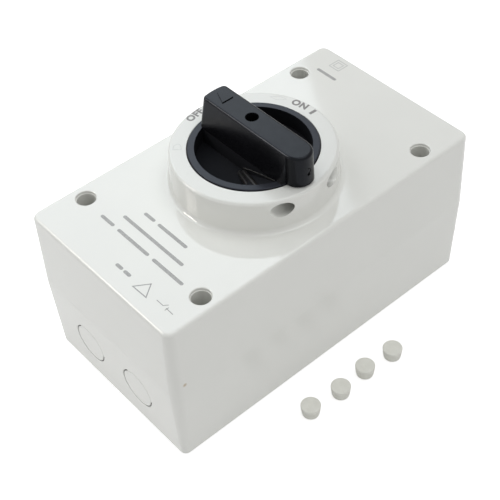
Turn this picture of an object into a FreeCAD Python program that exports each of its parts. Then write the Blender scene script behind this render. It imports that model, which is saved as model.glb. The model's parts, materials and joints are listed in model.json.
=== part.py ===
import FreeCAD, Part
import math
import os
from FreeCAD import Vector

# Frame: +Z points out of the front face, +X across the face, +Y along it.
# The origin is the centre of the flat back, so the switch rests on its back at z = 0.
# All sizes are in millimetres.

# Running gaps and fits
MOVING_GAP = 0.3
CONTACT_GAP = 0.2
SEAT_GAP = 0.1

# Shares of its own head in every slotted screw
HEAD_CHAMFER_SHARE = 0.25
SLOT_WIDTH_SHARE = 0.14
SLOT_REACH_SHARE = 0.6
SLOT_FLOOR_SHARE = 0.45

# Enclosure outline at the parting line
BOX_WIDTH = 100.0
BOX_LENGTH = 182.0
SEAM_Z = 43.5
COVER_RISE = 41.5
CORNER_RADIUS = 5.0
LEAST_CORNER_RADIUS = 0.6
BASE_DRAFT = 1.8
COVER_DRAFT = 0.6
WALL = 3.0
TOP_EDGE_RADIUS = 1.8
BACK_EDGE_RADIUS = 1.2

# Gasket groove in the rim of the base and tongue under the cover
GROOVE_INSET = 0.8
GROOVE_WIDTH = 1.4
GROOVE_DEPTH = 2.8
TONGUE_DEPTH = 0.8

# Cover screw wells and the pillars under them
WELL_X_INSET = 9.2
WELL_Y_INSET = 25.3
WELL_RADIUS = 4.7
WELL_WALL = 2.0
WELL_FLOOR = 3.0
WELL_RIM_RADIUS = 0.5
SCREW_RADIUS = 2.0
SCREW_HEAD_RADIUS = 3.8
SCREW_HEAD_HEIGHT = 2.6
SCREW_LENGTH = 16.0
INSERT_RADIUS = 3.0
INSERT_LENGTH = 9.0

# Cable knock-outs for M20 glands in both end walls
KNOCKOUT_RADIUS = 10.3
KNOCKOUT_X = 18.0
KNOCKOUT_Z = 22.9
KNOCKOUT_GROOVE_WIDTH = 0.7
KNOCKOUT_GROOVE_DEPTH = 0.7
KNOCKOUT_SLOT_DEPTH = 1.8
KNOCKOUT_SLOT_ANGLE = 34.0

# Wall fixing holes in the back
FIXING_INSET_X = 15.0
FIXING_INSET_Y = 12.0
FIXING_RADIUS = 2.5
FIXING_BOSS_RADIUS = 5.0
FIXING_BOSS_HEIGHT = 3.0

# Raised collar round the handle
COLLAR_HEIGHT = 17.0
COLLAR_WALL = 8.17
COLLAR_FLARE = 0.7
COLLAR_TOP_RADIUS = 1.5
COLLAR_FOOT_RADIUS = 2.2
COLLAR_BORE_GAP = 0.28
COLLAR_BORE_EDGE = 0.12
COLLAR_FLOOR_RISE = 4.0
COLLAR_CORE_SKIN = 2.8
COLLAR_CORE_WIDTH = 3.0
COLLAR_CORE_TOP = 6.0
HUB_TUBE_WALL = 3.0

# Padlock passage: two bores that meet under the tail of the handle
LOCK_BORE_RADIUS = 3.8
LOCK_BORE_DROP = 5.4
LOCK_APEX_INSET = 0.05
LOCK_BORE_ANGLE = 70.0
LOCK_PART_CLEAR = 5.0

# Handle
DISC_RADIUS = 29.85
RIM_WIDTH = 3.25
RIM_PROUD = 0.6
RIM_EDGE_RADIUS = 0.45
SKIRT_GAP = 1.3
DISH_DEPTH = 8.1
DISH_FLOOR = 2.5
BAR_HEIGHT = 15.7
BAR_TOP_HALF = 6.5
BAR_FOOT_HALF = 9.1
POINTER_ON_RIM = 1.5
POINTER_LEAN = 1.2
POINTER_CORNER = 2.4
TAIL_INSET = 0.4
TAIL_FOOT_HALF = 6.9
BAR_EDGE_RADIUS = 1.3
BAR_SKIN = 2.4
BAR_CORE_INSET = 5.0
MARK_LENGTH = 7.3
MARK_HALF = 3.1
MARK_TIP_INSET = 3.4
MARK_RISE = 0.45
PIN_HOLE_RADIUS = 0.8
PIN_HOLE_DEPTH = 1.0
PIN_HOLE_RISE = 5.8
WEDGE_FOOT_X = 4.4
WEDGE_FOOT_GAP = 0.2
WEDGE_RIM_ANGLES = (12.0, 21.9, 37.4, 46.8)

# Handle hub, its seal, ring and screw
HUB_RADIUS = 9.0
HUB_REACH = 1.7
SEAL_SECTION = 0.95
SEAL_GROOVE_WIDTH = 2.2
SEAL_DROP = 1.5
RING_THICKNESS = 0.9
RING_WIDTH = 2.9
RING_GROOVE_DEPTH = 0.8
RING_GAP_ANGLE = 60.0
HANDLE_SCREW_BORE = 3.1
HANDLE_SCREW_HEAD = 2.9
HANDLE_SCREW_SEAT = 17.5
HANDLE_SCREW_HEAD_HEIGHT = 2.4
HANDLE_SCREW_RADIUS = 1.5
HANDLE_SCREW_LENGTH = 17.0

# Screw caps, taken out of the wells and stood beside the box
CAP_TOP_RADIUS = 4.87
CAP_FOOT_RADIUS = 3.99
CAP_HEIGHT = 6.4
CAP_EDGE_RADIUS = 0.5
CAP_OFFSETS = (19.2, 20.8, 19.9, 21.3)
CAP_ROW_Y = (-31.0, -13.2, 3.7, 20.8)

# Mounting rail and the posts that carry it
RAIL_END_GAP = 8.0
RAIL_WIDTH = 35.0
RAIL_WEB_WIDTH = 27.0
RAIL_HEIGHT = 7.5
RAIL_SHEET = 1.0
RAIL_POST_OFFSET = 9.0
RAIL_POST_LENGTH = 14.0
RAIL_POST_WIDTH = 24.0
RAIL_SCREW_TIP_Z = 4.0
RAIL_SCREW_HEAD_RADIUS = 3.8
RAIL_SCREW_HEAD_HEIGHT = 2.2

# Switch block: foot, decks and mechanism
ROOF_GAP = 3.0
BLOCK_HALF_X = 22.0
FOOT_HALF_Y = 26.0
FOOT_HEIGHT = 8.0
HOOK_GRIP = 2.3
HOOK_DEPTH = 4.5
HOOK_WALL = 3.8
HOOK_INSET = 2.0
LATCH_HALF_X = 6.0
LATCH_THICKNESS = 3.4
LATCH_END_Y = 37.0
LATCH_SLOT = (6.0, 2.6)
LATCH_SLOT_INSET = 4.5
GUIDE_WALL = 3.0
GUIDE_LEDGE = 1.5
DECK_PITCH = 10.0
DECK_COUNT = 4
DECK_FLOOR = 1.4
CHAMBER_GAP = 1.0
CHAMBER_WALL = 1.5
SHAFT_PASS_RADIUS = 5.0
BOLT_INSET = 3.5
BOLT_Y = 20.0
BOLT_RADIUS = 1.5
BOLT_HEAD_RADIUS = 2.8
BOLT_HEAD_HEIGHT = 2.0
NUT_FLATS = 5.5
NUT_HEIGHT = 2.4

# Contacts and terminals
TERMINAL_INSET = 7.5
TERMINAL_STEP = 11.5
TERMINAL_OFFSET = 8.5
TERMINAL_LIP = 5.5
CONTACT_Z = 5.6
CONTACT_THICKNESS = 1.0
CONTACT_HALF = 3.2
CONTACT_BITE = 2.7
CONTACT_JOG_WIDTH = 6.0
CONTACT_TAIL = 3.5
BLADE_RADIUS = 15.5
BLADE_THICKNESS = 0.7
BLADE_CORE_RADIUS = 6.6
CAGE_HALF = 4.2
CAGE_WALL = 1.0
CAGE_HEIGHT = 7.2
TERMINAL_SCREW_RADIUS = 1.75
TERMINAL_SCREW_HEAD = 3.0

# Rotors, shaft and mechanism
ROTOR_RADIUS = 9.5
SHAFT_SIDE = 6.0
SHAFT_JOURNAL = 2.9
SHAFT_FLOOR = 1.5
SHAFT_PILOT = 2.4
MECHANISM_HALF_Y = 24.0
MECHANISM_FLOOR = 1.5
MECHANISM_HEIGHT = 10.5
MECHANISM_RADIUS = 19.0
MECHANISM_COVER = 2.0
CAM_RADIUS = 9.0
CAM_THICKNESS = 3.0
CAM_LUG_RADIUS = 17.5
CAM_LUG_HALF_ANGLE = 12.0
CAM_REST_ANGLE = 225.0
THROW_ANGLE = 90.0
STOP_GAP_ANGLE = 1.0
STOP_WIDTH_ANGLE = 10.0
STOP_INNER_RADIUS = 13.0
TAB_INNER = 14.0
TAB_OUTER = 16.5
TAB_HALF_ANGLE = 6.0
TAB_HEIGHT = 1.1
SPRING_WIRE_RADIUS = 0.9
SPRING_RADIUS = 12.0
SPRING_LEG_ANGLE = 10.5
CARRIER_RADIUS = 17.0
CARRIER_THICKNESS = 2.6
SPINDLE_SIDE = 8.0
SPINDLE_JOURNAL = 5.7
SPINDLE_BEARING_WALL = 2.6
SPINDLE_BEARING_RISE = 0.8

# Earth terminal on the floor of the base
EARTH_INSET_Y = 25.0
EARTH_HALF_X = 11.0
EARTH_HALF_Y = 4.5
EARTH_HEIGHT = 7.0
EARTH_POST_HEIGHT = 4.0
EARTH_BORE_RADIUS = 2.4
EARTH_WIRE_RISE = 3.0
EARTH_SCREW_X = 6.0
EARTH_SCREW_RADIUS = 1.75
EARTH_SCREW_HEAD = 3.2
EARTH_SCREW_HEAD_HEIGHT = 2.0

# Heights worked out from the sizes above, the switch block down from the roof of the cover
TOP_Z = SEAM_Z + COVER_RISE
ROOF_Z = TOP_Z - WALL
COLLAR_TOP_Z = TOP_Z + COLLAR_HEIGHT
COLLAR_FLOOR_Z = TOP_Z + COLLAR_FLOOR_RISE
LOCK_BORE_Z = COLLAR_TOP_Z - LOCK_BORE_DROP
COLLAR_CORE_TOP_Z = TOP_Z + COLLAR_CORE_TOP
COLLAR_PART_Z = (COLLAR_CORE_TOP_Z + LOCK_BORE_Z - LOCK_BORE_RADIUS) / 2
RIM_Z = COLLAR_TOP_Z + RIM_PROUD
DISH_Z = RIM_Z - DISH_DEPTH
HANDLE_UNDER_Z = DISH_Z - DISH_FLOOR
HANDLE_TOP_Z = RIM_Z + BAR_HEIGHT
HANDLE_SCREW_SEAT_Z = HANDLE_TOP_Z - HANDLE_SCREW_SEAT
HUB_BOTTOM_Z = ROOF_Z - HUB_REACH
RING_TOP_Z = ROOF_Z - MOVING_GAP
SEAL_Z = COLLAR_FLOOR_Z - SEAL_DROP
BLOCK_TOP_Z = ROOF_Z - ROOF_GAP
MECHANISM_COVER_Z = BLOCK_TOP_Z - MECHANISM_COVER
MECHANISM_Z = MECHANISM_COVER_Z - MECHANISM_HEIGHT
DECK_Z = MECHANISM_Z - DECK_COUNT * DECK_PITCH
RAIL_TOP_Z = DECK_Z - FOOT_HEIGHT
RAIL_SEAT_Z = RAIL_TOP_Z - RAIL_HEIGHT
SHAFT_FOOT_Z = RAIL_TOP_Z + SHAFT_FLOOR
CAM_Z = MECHANISM_Z + MECHANISM_FLOOR + MOVING_GAP
CAM_TOP_Z = CAM_Z + CAM_THICKNESS
TAB_TOP_Z = CAM_TOP_Z + TAB_HEIGHT
SPRING_Z = TAB_TOP_Z + SEAT_GAP / 2
CARRIER_Z = TAB_TOP_Z + SEAT_GAP + TAB_HEIGHT
CARRIER_TOP_Z = CARRIER_Z + CARRIER_THICKNESS
SPINDLE_TOP_Z = HANDLE_UNDER_Z - SEAT_GAP
EARTH_Z = WALL + EARTH_POST_HEIGHT
EARTH_TOP_Z = EARTH_Z + EARTH_HEIGHT

# Places and radii worked out from the sizes above
WELL_X = BOX_WIDTH / 2 - WELL_X_INSET
WELL_Y = BOX_LENGTH / 2 - WELL_Y_INSET
WELL_OUTER_RADIUS = WELL_RADIUS + WELL_WALL
FIXING_X = BOX_WIDTH / 2 - FIXING_INSET_X
FIXING_Y = BOX_LENGTH / 2 - FIXING_INSET_Y
EARTH_Y = EARTH_INSET_Y - BOX_LENGTH / 2
RAIL_LENGTH = BOX_WIDTH - 2 * RAIL_END_GAP
RAIL_POST_X = BLOCK_HALF_X + RAIL_POST_OFFSET
HOOK_HALF_X = BLOCK_HALF_X - HOOK_INSET
BOLT_X = BLOCK_HALF_X - BOLT_INSET
TERMINAL_X = BOLT_X - TERMINAL_INSET
COLLAR_BORE_RADIUS = DISC_RADIUS + COLLAR_BORE_GAP
COLLAR_RADIUS = COLLAR_BORE_RADIUS + COLLAR_WALL
COLLAR_FOOT_REACH = COLLAR_RADIUS + COLLAR_FLARE
COLLAR_LAND = BOX_WIDTH / 2 - COVER_DRAFT - COLLAR_FOOT_REACH
LOCK_APEX_X = DISC_RADIUS - LOCK_APEX_INSET
LOCK_PART_X = LOCK_APEX_X - LOCK_BORE_RADIUS - LOCK_PART_CLEAR
POINTER_FOOT_RADIUS = DISC_RADIUS - RIM_WIDTH + POINTER_ON_RIM
POINTER_TOP_RADIUS = POINTER_FOOT_RADIUS - POINTER_LEAN
TAIL_X = DISC_RADIUS - TAIL_INSET
MARK_TIP = POINTER_TOP_RADIUS - MARK_TIP_INSET
HUB_BORE_RADIUS = HUB_RADIUS + MOVING_GAP
SEAL_GROOVE_RADIUS = HUB_BORE_RADIUS - SEAT_GAP - 2 * SEAL_SECTION
CHAMBER_RADIUS = BLADE_RADIUS + CHAMBER_GAP
CONTACT_TIP_Y = BLADE_RADIUS - CONTACT_BITE
CONTACT_JOG_Y = CHAMBER_RADIUS + CHAMBER_WALL
TERMINAL_Y_UPPER = CONTACT_JOG_Y + CONTACT_JOG_WIDTH + TERMINAL_OFFSET
TERMINAL_Y_LOWER = TERMINAL_Y_UPPER + TERMINAL_STEP
BASE_DRAFT_ANGLE = math.atan2(BASE_DRAFT, SEAM_Z)


def box(x0, x1, y0, y1, z0, z1):
    return Part.makeBox(x1 - x0, y1 - y0, z1 - z0, Vector(x0, y0, z0))


def block(half_x, half_y, z0, z1, x=0.0, y=0.0):
    return box(x - half_x, x + half_x, y - half_y, y + half_y, z0, z1)


def rod(radius, z0, z1, x=0.0, y=0.0):
    return Part.makeCylinder(radius, z1 - z0, Vector(x, y, z0))


def ring(inner, outer, z0, z1, x=0.0, y=0.0):
    return rod(outer, z0, z1, x, y).cut(rod(inner, z0, z1, x, y))


def square_rod(side, z0, z1):
    return block(side / 2, side / 2, z0, z1)


def polar(radius, angle, z=0.0):
    turn = math.radians(angle)
    return Vector(radius * math.cos(turn), radius * math.sin(turn), z)


def joined(shapes):
    return shapes[0].multiFuse(shapes[1:]).removeSplitter()


def four_corners(x, y):
    return [(side_x * x, side_y * y) for side_x in (-1, 1) for side_y in (-1, 1)]


def rounded_outline(half_x, half_y, radius, z):
    """Closed outline of a rectangle with round corners, anticlockwise from above."""
    edges = []
    previous = None
    first = None
    for quarter, (side_x, side_y) in enumerate(((1, 1), (-1, 1), (-1, -1), (1, -1))):
        centre = Vector(side_x * (half_x - radius), side_y * (half_y - radius), z)
        start = centre + polar(radius, 90 * quarter)
        middle = centre + polar(radius, 90 * quarter + 45)
        end = centre + polar(radius, 90 * quarter + 90)
        if previous is not None:
            edges.append(Part.makeLine(previous, start))
        edges.append(Part.Arc(start, middle, end).toShape())
        first = first or start
        previous = end
    edges.append(Part.makeLine(previous, first))
    return Part.Wire(edges)


def tapered_block(inset_low, z_low, inset_high, z_high):
    """Block of the enclosure's outline, set in by one amount at each of two heights."""
    wires = []
    for inset, z in ((inset_low, z_low), (inset_high, z_high)):
        radius = max(CORNER_RADIUS - inset, LEAST_CORNER_RADIUS)
        wires.append(rounded_outline(BOX_WIDTH / 2 - inset, BOX_LENGTH / 2 - inset, radius, z))
    return Part.makeLoft(wires, True, True)


def outline_ring(inset_outer, inset_inner, z0, z1):
    outer = tapered_block(inset_outer, z0, inset_outer, z1)
    return outer.cut(tapered_block(inset_inner, z0, inset_inner, z1))


def base_inset(z):
    return BASE_DRAFT * (1 - z / SEAM_Z)


def cover_inset(z):
    return COVER_DRAFT * (z - SEAM_Z) / COVER_RISE


def edges_at_height(shape, z):
    return [edge for edge in shape.Edges if all(abs(v.Point.z - z) < 1e-6 for v in edge.Vertexes)]


def sector(inner, outer, middle_angle, half_angle, z0, z1):
    """Part of a flat ring between two radii, centred on an angle."""
    low = middle_angle - half_angle
    high = middle_angle + half_angle
    outline = Part.Wire([
        Part.makeLine(polar(inner, low, z0), polar(outer, low, z0)),
        Part.Arc(polar(outer, low, z0), polar(outer, middle_angle, z0), polar(outer, high, z0)).toShape(),
        Part.makeLine(polar(outer, high, z0), polar(inner, high, z0)),
        Part.Arc(polar(inner, high, z0), polar(inner, middle_angle, z0), polar(inner, low, z0)).toShape(),
    ])
    return Part.Face(outline).extrude(Vector(0, 0, z1 - z0))


def hexagon(flats, z0, z1, x=0.0, y=0.0):
    across = flats / math.sqrt(3)
    points = [polar(across, 60 * step, z0) + Vector(x, y, 0) for step in range(7)]
    return Part.Face(Part.makePolygon(points)).extrude(Vector(0, 0, z1 - z0))


def slotted_screw(x, y, seat_z, shank_radius, shank_length, head_radius, head_height):
    """Screw with its head on seat_z and its shank below, with a cross cut in the head."""
    head = rod(head_radius, seat_z, seat_z + head_height, x, y)
    head = head.makeChamfer(head_height * HEAD_CHAMFER_SHARE, edges_at_height(head, seat_z + head_height))
    shank = rod(shank_radius, seat_z - shank_length, seat_z, x, y)
    screw = head.fuse(shank)
    slot_half = head_radius * SLOT_WIDTH_SHARE
    slot_reach = head_radius * SLOT_REACH_SHARE
    slot_z = seat_z + head_height * SLOT_FLOOR_SHARE
    for half_x, half_y in ((slot_reach, slot_half), (slot_half, slot_reach)):
        screw = screw.cut(block(half_x, half_y, slot_z, seat_z + head_height, x, y))
    return screw


def end_wall_point(x, z, end):
    return Vector(x, end * (BOX_LENGTH / 2 - base_inset(z)), z)


def knockout_cuts(x, end):
    """Groove of one knock-out, with two deeper slots where it is broken out."""
    centre = end_wall_point(x, KNOCKOUT_Z, end)
    inward = Vector(0, -end * math.cos(BASE_DRAFT_ANGLE), math.sin(BASE_DRAFT_ANGLE))
    inner = KNOCKOUT_RADIUS - KNOCKOUT_GROOVE_WIDTH
    start = centre - inward
    cuts = []
    for depth in (KNOCKOUT_GROOVE_DEPTH, KNOCKOUT_SLOT_DEPTH):
        outer_disc = Part.makeCylinder(KNOCKOUT_RADIUS, depth + 1, start, inward)
        inner_disc = Part.makeCylinder(inner, depth + 1, start, inward)
        cuts.append(outer_disc.cut(inner_disc))
    sideways = KNOCKOUT_RADIUS * math.sin(math.radians(KNOCKOUT_SLOT_ANGLE / 2))
    slot_block = Part.makeBox(2 * KNOCKOUT_RADIUS + 4, 2 * WALL, 2 * sideways)
    slot_block.translate(Vector(-KNOCKOUT_RADIUS - 2, -WALL, -sideways))
    slot_block.rotate(Vector(0, 0, 0), Vector(0, 1, 0), 45 * end)
    slot_block.translate(centre)
    return [cuts[0], cuts[1].common(slot_block)]


def enclosure_base():
    outer = tapered_block(BASE_DRAFT, 0, 0, SEAM_Z)
    outer = outer.makeFillet(BACK_EDGE_RADIUS, edges_at_height(outer, 0))
    hollow = tapered_block(base_inset(WALL) + WALL, WALL, WALL, SEAM_Z)
    shell = outer.cut(hollow)
    inside = tapered_block(base_inset(WALL / 2) + WALL / 2, WALL / 2, WALL / 2, SEAM_Z)
    pillars = [rod(WELL_OUTER_RADIUS, WALL - 1, SEAM_Z, x, y) for x, y in four_corners(WELL_X, WELL_Y)]
    bosses = [
        rod(FIXING_BOSS_RADIUS, WALL - 1, WALL + FIXING_BOSS_HEIGHT, x, y)
        for x, y in four_corners(FIXING_X, FIXING_Y)
    ]
    posts = [
        block(RAIL_POST_LENGTH / 2, RAIL_POST_WIDTH / 2, WALL - 1, RAIL_SEAT_Z, side * RAIL_POST_X, 0)
        for side in (-1, 1)
    ]
    earth_post = block(EARTH_HALF_X, EARTH_HALF_Y, WALL - 1, WALL + EARTH_POST_HEIGHT, 0, EARTH_Y)
    shell = joined([shell] + [part.common(inside) for part in pillars + bosses + posts + [earth_post]])
    cuts = [outline_ring(GROOVE_INSET, GROOVE_INSET + GROOVE_WIDTH, SEAM_Z - GROOVE_DEPTH, SEAM_Z)]
    for x, y in four_corners(WELL_X, WELL_Y):
        cuts.append(rod(INSERT_RADIUS, SEAM_Z - INSERT_LENGTH, SEAM_Z, x, y))
        cuts.append(rod(SCREW_RADIUS + SEAT_GAP, SEAM_Z - SCREW_LENGTH, SEAM_Z, x, y))
    for x, y in four_corners(FIXING_X, FIXING_Y):
        cuts.append(rod(FIXING_RADIUS, -1, WALL + FIXING_BOSS_HEIGHT + 1, x, y))
    for side in (-1, 1):
        cuts.append(rod(SCREW_RADIUS, RAIL_SCREW_TIP_Z, RAIL_SEAT_Z, side * RAIL_POST_X))
    for end in (-1, 1):
        for side in (-1, 1):
            cuts.extend(knockout_cuts(side * KNOCKOUT_X, end))
    return shell.cut(Part.makeCompound(cuts))


def lock_bore(side):
    """Bore of the padlock passage on one side, from where the two meet to outside the collar."""
    apex = Vector(LOCK_APEX_X, 0, LOCK_BORE_Z)
    outward = polar(1.0, side * LOCK_BORE_ANGLE)
    return Part.makeCylinder(LOCK_BORE_RADIUS, COLLAR_RADIUS, apex, outward)


def lock_passage():
    middle = Part.makeSphere(LOCK_BORE_RADIUS, Vector(LOCK_APEX_X, 0, LOCK_BORE_Z))
    return joined([lock_bore(-1), lock_bore(1), middle])


def lock_side():
    """Room round the padlock passage, beyond the plane where the collar and the handle are parted."""
    reach = 2 * COLLAR_FOOT_REACH
    return box(LOCK_PART_X, reach, -reach, reach, HUB_BOTTOM_Z, HANDLE_TOP_Z + 1)


def cover_moulding():
    """Cover and collar in one, before they are parted."""
    outer = tapered_block(0, SEAM_Z, COVER_DRAFT, TOP_Z)
    collar = Part.makeCone(COLLAR_FOOT_REACH, COLLAR_RADIUS, COLLAR_HEIGHT, Vector(0, 0, TOP_Z))
    outer = joined([outer, collar])
    outline_edges = []
    for edge in edges_at_height(outer, TOP_Z):
        if edge.Curve.TypeId != "Part::GeomCircle" or edge.Curve.Radius < COLLAR_RADIUS:
            outline_edges.append(edge)
    outer = outer.makeFillet(min(TOP_EDGE_RADIUS, COLLAR_LAND / 3), outline_edges)
    foot_edges = [
        edge for edge in edges_at_height(outer, TOP_Z)
        if edge.Curve.TypeId == "Part::GeomCircle" and edge.Curve.Radius > COLLAR_RADIUS
    ]
    outer = outer.makeFillet(min(COLLAR_FOOT_RADIUS, COLLAR_LAND / 3), foot_edges)
    outer = outer.makeFillet(COLLAR_TOP_RADIUS, edges_at_height(outer, COLLAR_TOP_Z))
    hollow = tapered_block(WALL, SEAM_Z, cover_inset(ROOF_Z) + WALL, ROOF_Z)
    wells = [rod(WELL_OUTER_RADIUS, SEAM_Z, ROOF_Z, x, y) for x, y in four_corners(WELL_X, WELL_Y)]
    hollow = hollow.cut(Part.makeCompound(wells))
    hub_tube_radius = HUB_BORE_RADIUS + HUB_TUBE_WALL
    under_collar = ring(hub_tube_radius, COLLAR_BORE_RADIUS - WALL, ROOF_Z, COLLAR_FLOOR_Z - WALL)
    core_inner = COLLAR_BORE_RADIUS + COLLAR_CORE_SKIN
    core = ring(core_inner, core_inner + COLLAR_CORE_WIDTH, ROOF_Z, COLLAR_CORE_TOP_Z)
    cover = outer.cut(Part.makeCompound([hollow, under_collar, core]))
    tongue = outline_ring(GROOVE_INSET + SEAT_GAP, GROOVE_INSET + GROOVE_WIDTH - SEAT_GAP,
                          SEAM_Z - TONGUE_DEPTH, SEAM_Z)
    cover = joined([cover, tongue])
    cuts = [rod(COLLAR_BORE_RADIUS, COLLAR_FLOOR_Z, COLLAR_TOP_Z + 1)]
    bevel_reach = 2 * COLLAR_BORE_EDGE
    bevel_foot = Vector(0, 0, COLLAR_TOP_Z - COLLAR_BORE_EDGE)
    bevel = Part.makeCone(COLLAR_BORE_RADIUS, COLLAR_BORE_RADIUS + bevel_reach, bevel_reach, bevel_foot)
    cuts.append(bevel)
    cuts.append(rod(HUB_BORE_RADIUS, SEAM_Z, COLLAR_FLOOR_Z + 1))
    cuts.append(lock_passage())
    for x, y in four_corners(WELL_X, WELL_Y):
        cuts.append(rod(WELL_RADIUS, SEAM_Z + WELL_FLOOR, TOP_Z + 1, x, y))
        cuts.append(rod(SCREW_RADIUS + CONTACT_GAP, SEAM_Z - 1, SEAM_Z + WELL_FLOOR + 1, x, y))
    cover = cover.cut(Part.makeCompound(cuts))
    rim_edges = [
        edge for edge in edges_at_height(cover, TOP_Z)
        if edge.Curve.TypeId == "Part::GeomCircle" and abs(edge.Curve.Radius - WELL_RADIUS) < 1e-6
    ]
    return cover.makeFillet(WELL_RIM_RADIUS, rim_edges)


def cover_and_collar():
    """The moulding in three flush pieces: cover, collar, and the collar's side with the bores."""
    moulding = cover_moulding()
    above = block(COLLAR_FOOT_REACH, COLLAR_FOOT_REACH, COLLAR_PART_Z, COLLAR_TOP_Z + 1)
    collar = moulding.common(above)
    return moulding.cut(above), collar.cut(lock_side()), collar.common(lock_side())


def cover_gasket():
    inset = GROOVE_INSET + SEAT_GAP / 2
    return outline_ring(inset, inset + GROOVE_WIDTH - SEAT_GAP, SEAM_Z - GROOVE_DEPTH, SEAM_Z - TONGUE_DEPTH)


def threaded_inserts():
    inserts = []
    for x, y in four_corners(WELL_X, WELL_Y):
        inserts.append(ring(SCREW_RADIUS, INSERT_RADIUS, SEAM_Z - INSERT_LENGTH, SEAM_Z, x, y))
    return Part.makeCompound(inserts)


def cover_screws():
    seat_z = SEAM_Z + WELL_FLOOR
    screws = [
        slotted_screw(x, y, seat_z, SCREW_RADIUS, SCREW_LENGTH, SCREW_HEAD_RADIUS, SCREW_HEAD_HEIGHT)
        for x, y in four_corners(WELL_X, WELL_Y)
    ]
    return Part.makeCompound(screws)


def screw_caps():
    caps = []
    for offset, y in zip(CAP_OFFSETS, CAP_ROW_Y):
        foot = Vector(BOX_WIDTH / 2 + offset, y, 0)
        cap = Part.makeCone(CAP_FOOT_RADIUS, CAP_TOP_RADIUS, CAP_HEIGHT, foot)
        cap = cap.makeFillet(CAP_EDGE_RADIUS, edges_at_height(cap, CAP_HEIGHT) + edges_at_height(cap, 0))
        caps.append(cap)
    return Part.makeCompound(caps)


def prism_along_x(half_low, half_high, x0, x1, z_low, z_high):
    """Bar along X with a trapezoid section, wide by half_low at the foot and half_high at the top."""
    points = [
        Vector(x0, -half_low, z_low), Vector(x0, half_low, z_low),
        Vector(x0, half_high, z_high), Vector(x0, -half_high, z_high), Vector(x0, -half_low, z_low),
    ]
    return Part.Face(Part.makePolygon(points)).extrude(Vector(x1 - x0, 0, 0))


def long_top_edges(bar, z):
    return [edge for edge in edges_at_height(bar, z) if edge.BoundBox.YLength < 1e-6]


def tail_outline(half, z):
    """Outline of the bar's tail: straight sides that end in a half circle over the collar."""
    low_start, low_end = Vector(0, -half, z), Vector(TAIL_X, -half, z)
    high_start, high_end = Vector(TAIL_X, half, z), Vector(0, half, z)
    return Part.Wire([
        Part.LineSegment(low_start, low_end).toShape(),
        Part.Arc(low_end, Vector(TAIL_X + half, 0, z), high_start).toShape(),
        Part.LineSegment(high_start, high_end).toShape(),
        Part.LineSegment(high_end, low_start).toShape(),
    ])


def grip_bar():
    """Grip bar above the rim: arc end with the pointer, round tail over the collar."""
    reach = 2 * DISC_RADIUS
    pointer_half = prism_along_x(BAR_FOOT_HALF, BAR_TOP_HALF, -reach, 0, RIM_Z, HANDLE_TOP_Z)
    pointer_half = pointer_half.common(
        Part.makeCone(POINTER_FOOT_RADIUS, POINTER_TOP_RADIUS, BAR_HEIGHT, Vector(0, 0, RIM_Z)))
    corners = []
    for edge in pointer_half.Edges:
        spans_height = edge.BoundBox.ZLength > BAR_HEIGHT * 0.9
        if spans_height and edge.BoundBox.Center.x < -BAR_FOOT_HALF:
            corners.append(edge)
    pointer_half = pointer_half.makeFillet(POINTER_CORNER, corners)
    rounded = [edge for edge in edges_at_height(pointer_half, HANDLE_TOP_Z) if edge.BoundBox.XMin < -1]
    pointer_half = pointer_half.makeFillet(BAR_EDGE_RADIUS, rounded)
    tail_half = prism_along_x(BAR_FOOT_HALF, BAR_TOP_HALF, 0, reach, RIM_Z, HANDLE_TOP_Z)
    tail_half = tail_half.makeFillet(BAR_EDGE_RADIUS, long_top_edges(tail_half, HANDLE_TOP_Z))
    tail_half = tail_half.common(rod(DISC_RADIUS - SEAT_GAP, RIM_Z, HANDLE_TOP_Z))
    outlines = [tail_outline(TAIL_FOOT_HALF, RIM_Z), tail_outline(BAR_TOP_HALF, HANDLE_TOP_Z)]
    tail = Part.makeLoft(outlines, True, True)
    rounded = [edge for edge in edges_at_height(tail, HANDLE_TOP_Z) if edge.BoundBox.XMax > 1]
    tail = tail.makeFillet(BAR_EDGE_RADIUS, rounded)
    return joined([pointer_half, tail_half, tail])


def dish_wedge(side):
    """Sloping stiffener between the foot of the bar and the rim, beside the tail."""
    outer_radius = DISC_RADIUS - RIM_WIDTH / 2
    foot = Vector(WEDGE_FOOT_X, side * (BAR_FOOT_HALF + WEDGE_FOOT_GAP), DISH_Z)
    inner_foot = Vector(WEDGE_FOOT_X, side * (BAR_FOOT_HALF - 1), DISH_Z)
    rim_angles = [side * angle for angle in WEDGE_RIM_ANGLES]
    low = [inner_foot, foot] + [polar(outer_radius, angle, DISH_Z) for angle in reversed(rim_angles)]
    high = [polar(outer_radius, angle, RIM_Z) for angle in reversed(rim_angles)]
    faces = [Part.Face(Part.makePolygon(low + [low[0]]))]
    faces.append(Part.Face(Part.makePolygon([foot, low[2], high[0], foot])))
    for step in range(3):
        faces.append(Part.Face(Part.makePolygon(
            [low[step + 2], low[step + 3], high[step + 1], high[step], low[step + 2]])))
        faces.append(Part.Face(Part.makePolygon([foot, high[step], high[step + 1], foot])))
    faces.append(Part.Face(Part.makePolygon([foot, high[3], inner_foot, foot])))
    faces.append(Part.Face(Part.makePolygon([inner_foot, high[3], low[5], inner_foot])))
    wedge = Part.makeSolid(Part.makeShell(faces))
    if wedge.Volume < 0:
        wedge.reverse()
    return wedge


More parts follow.
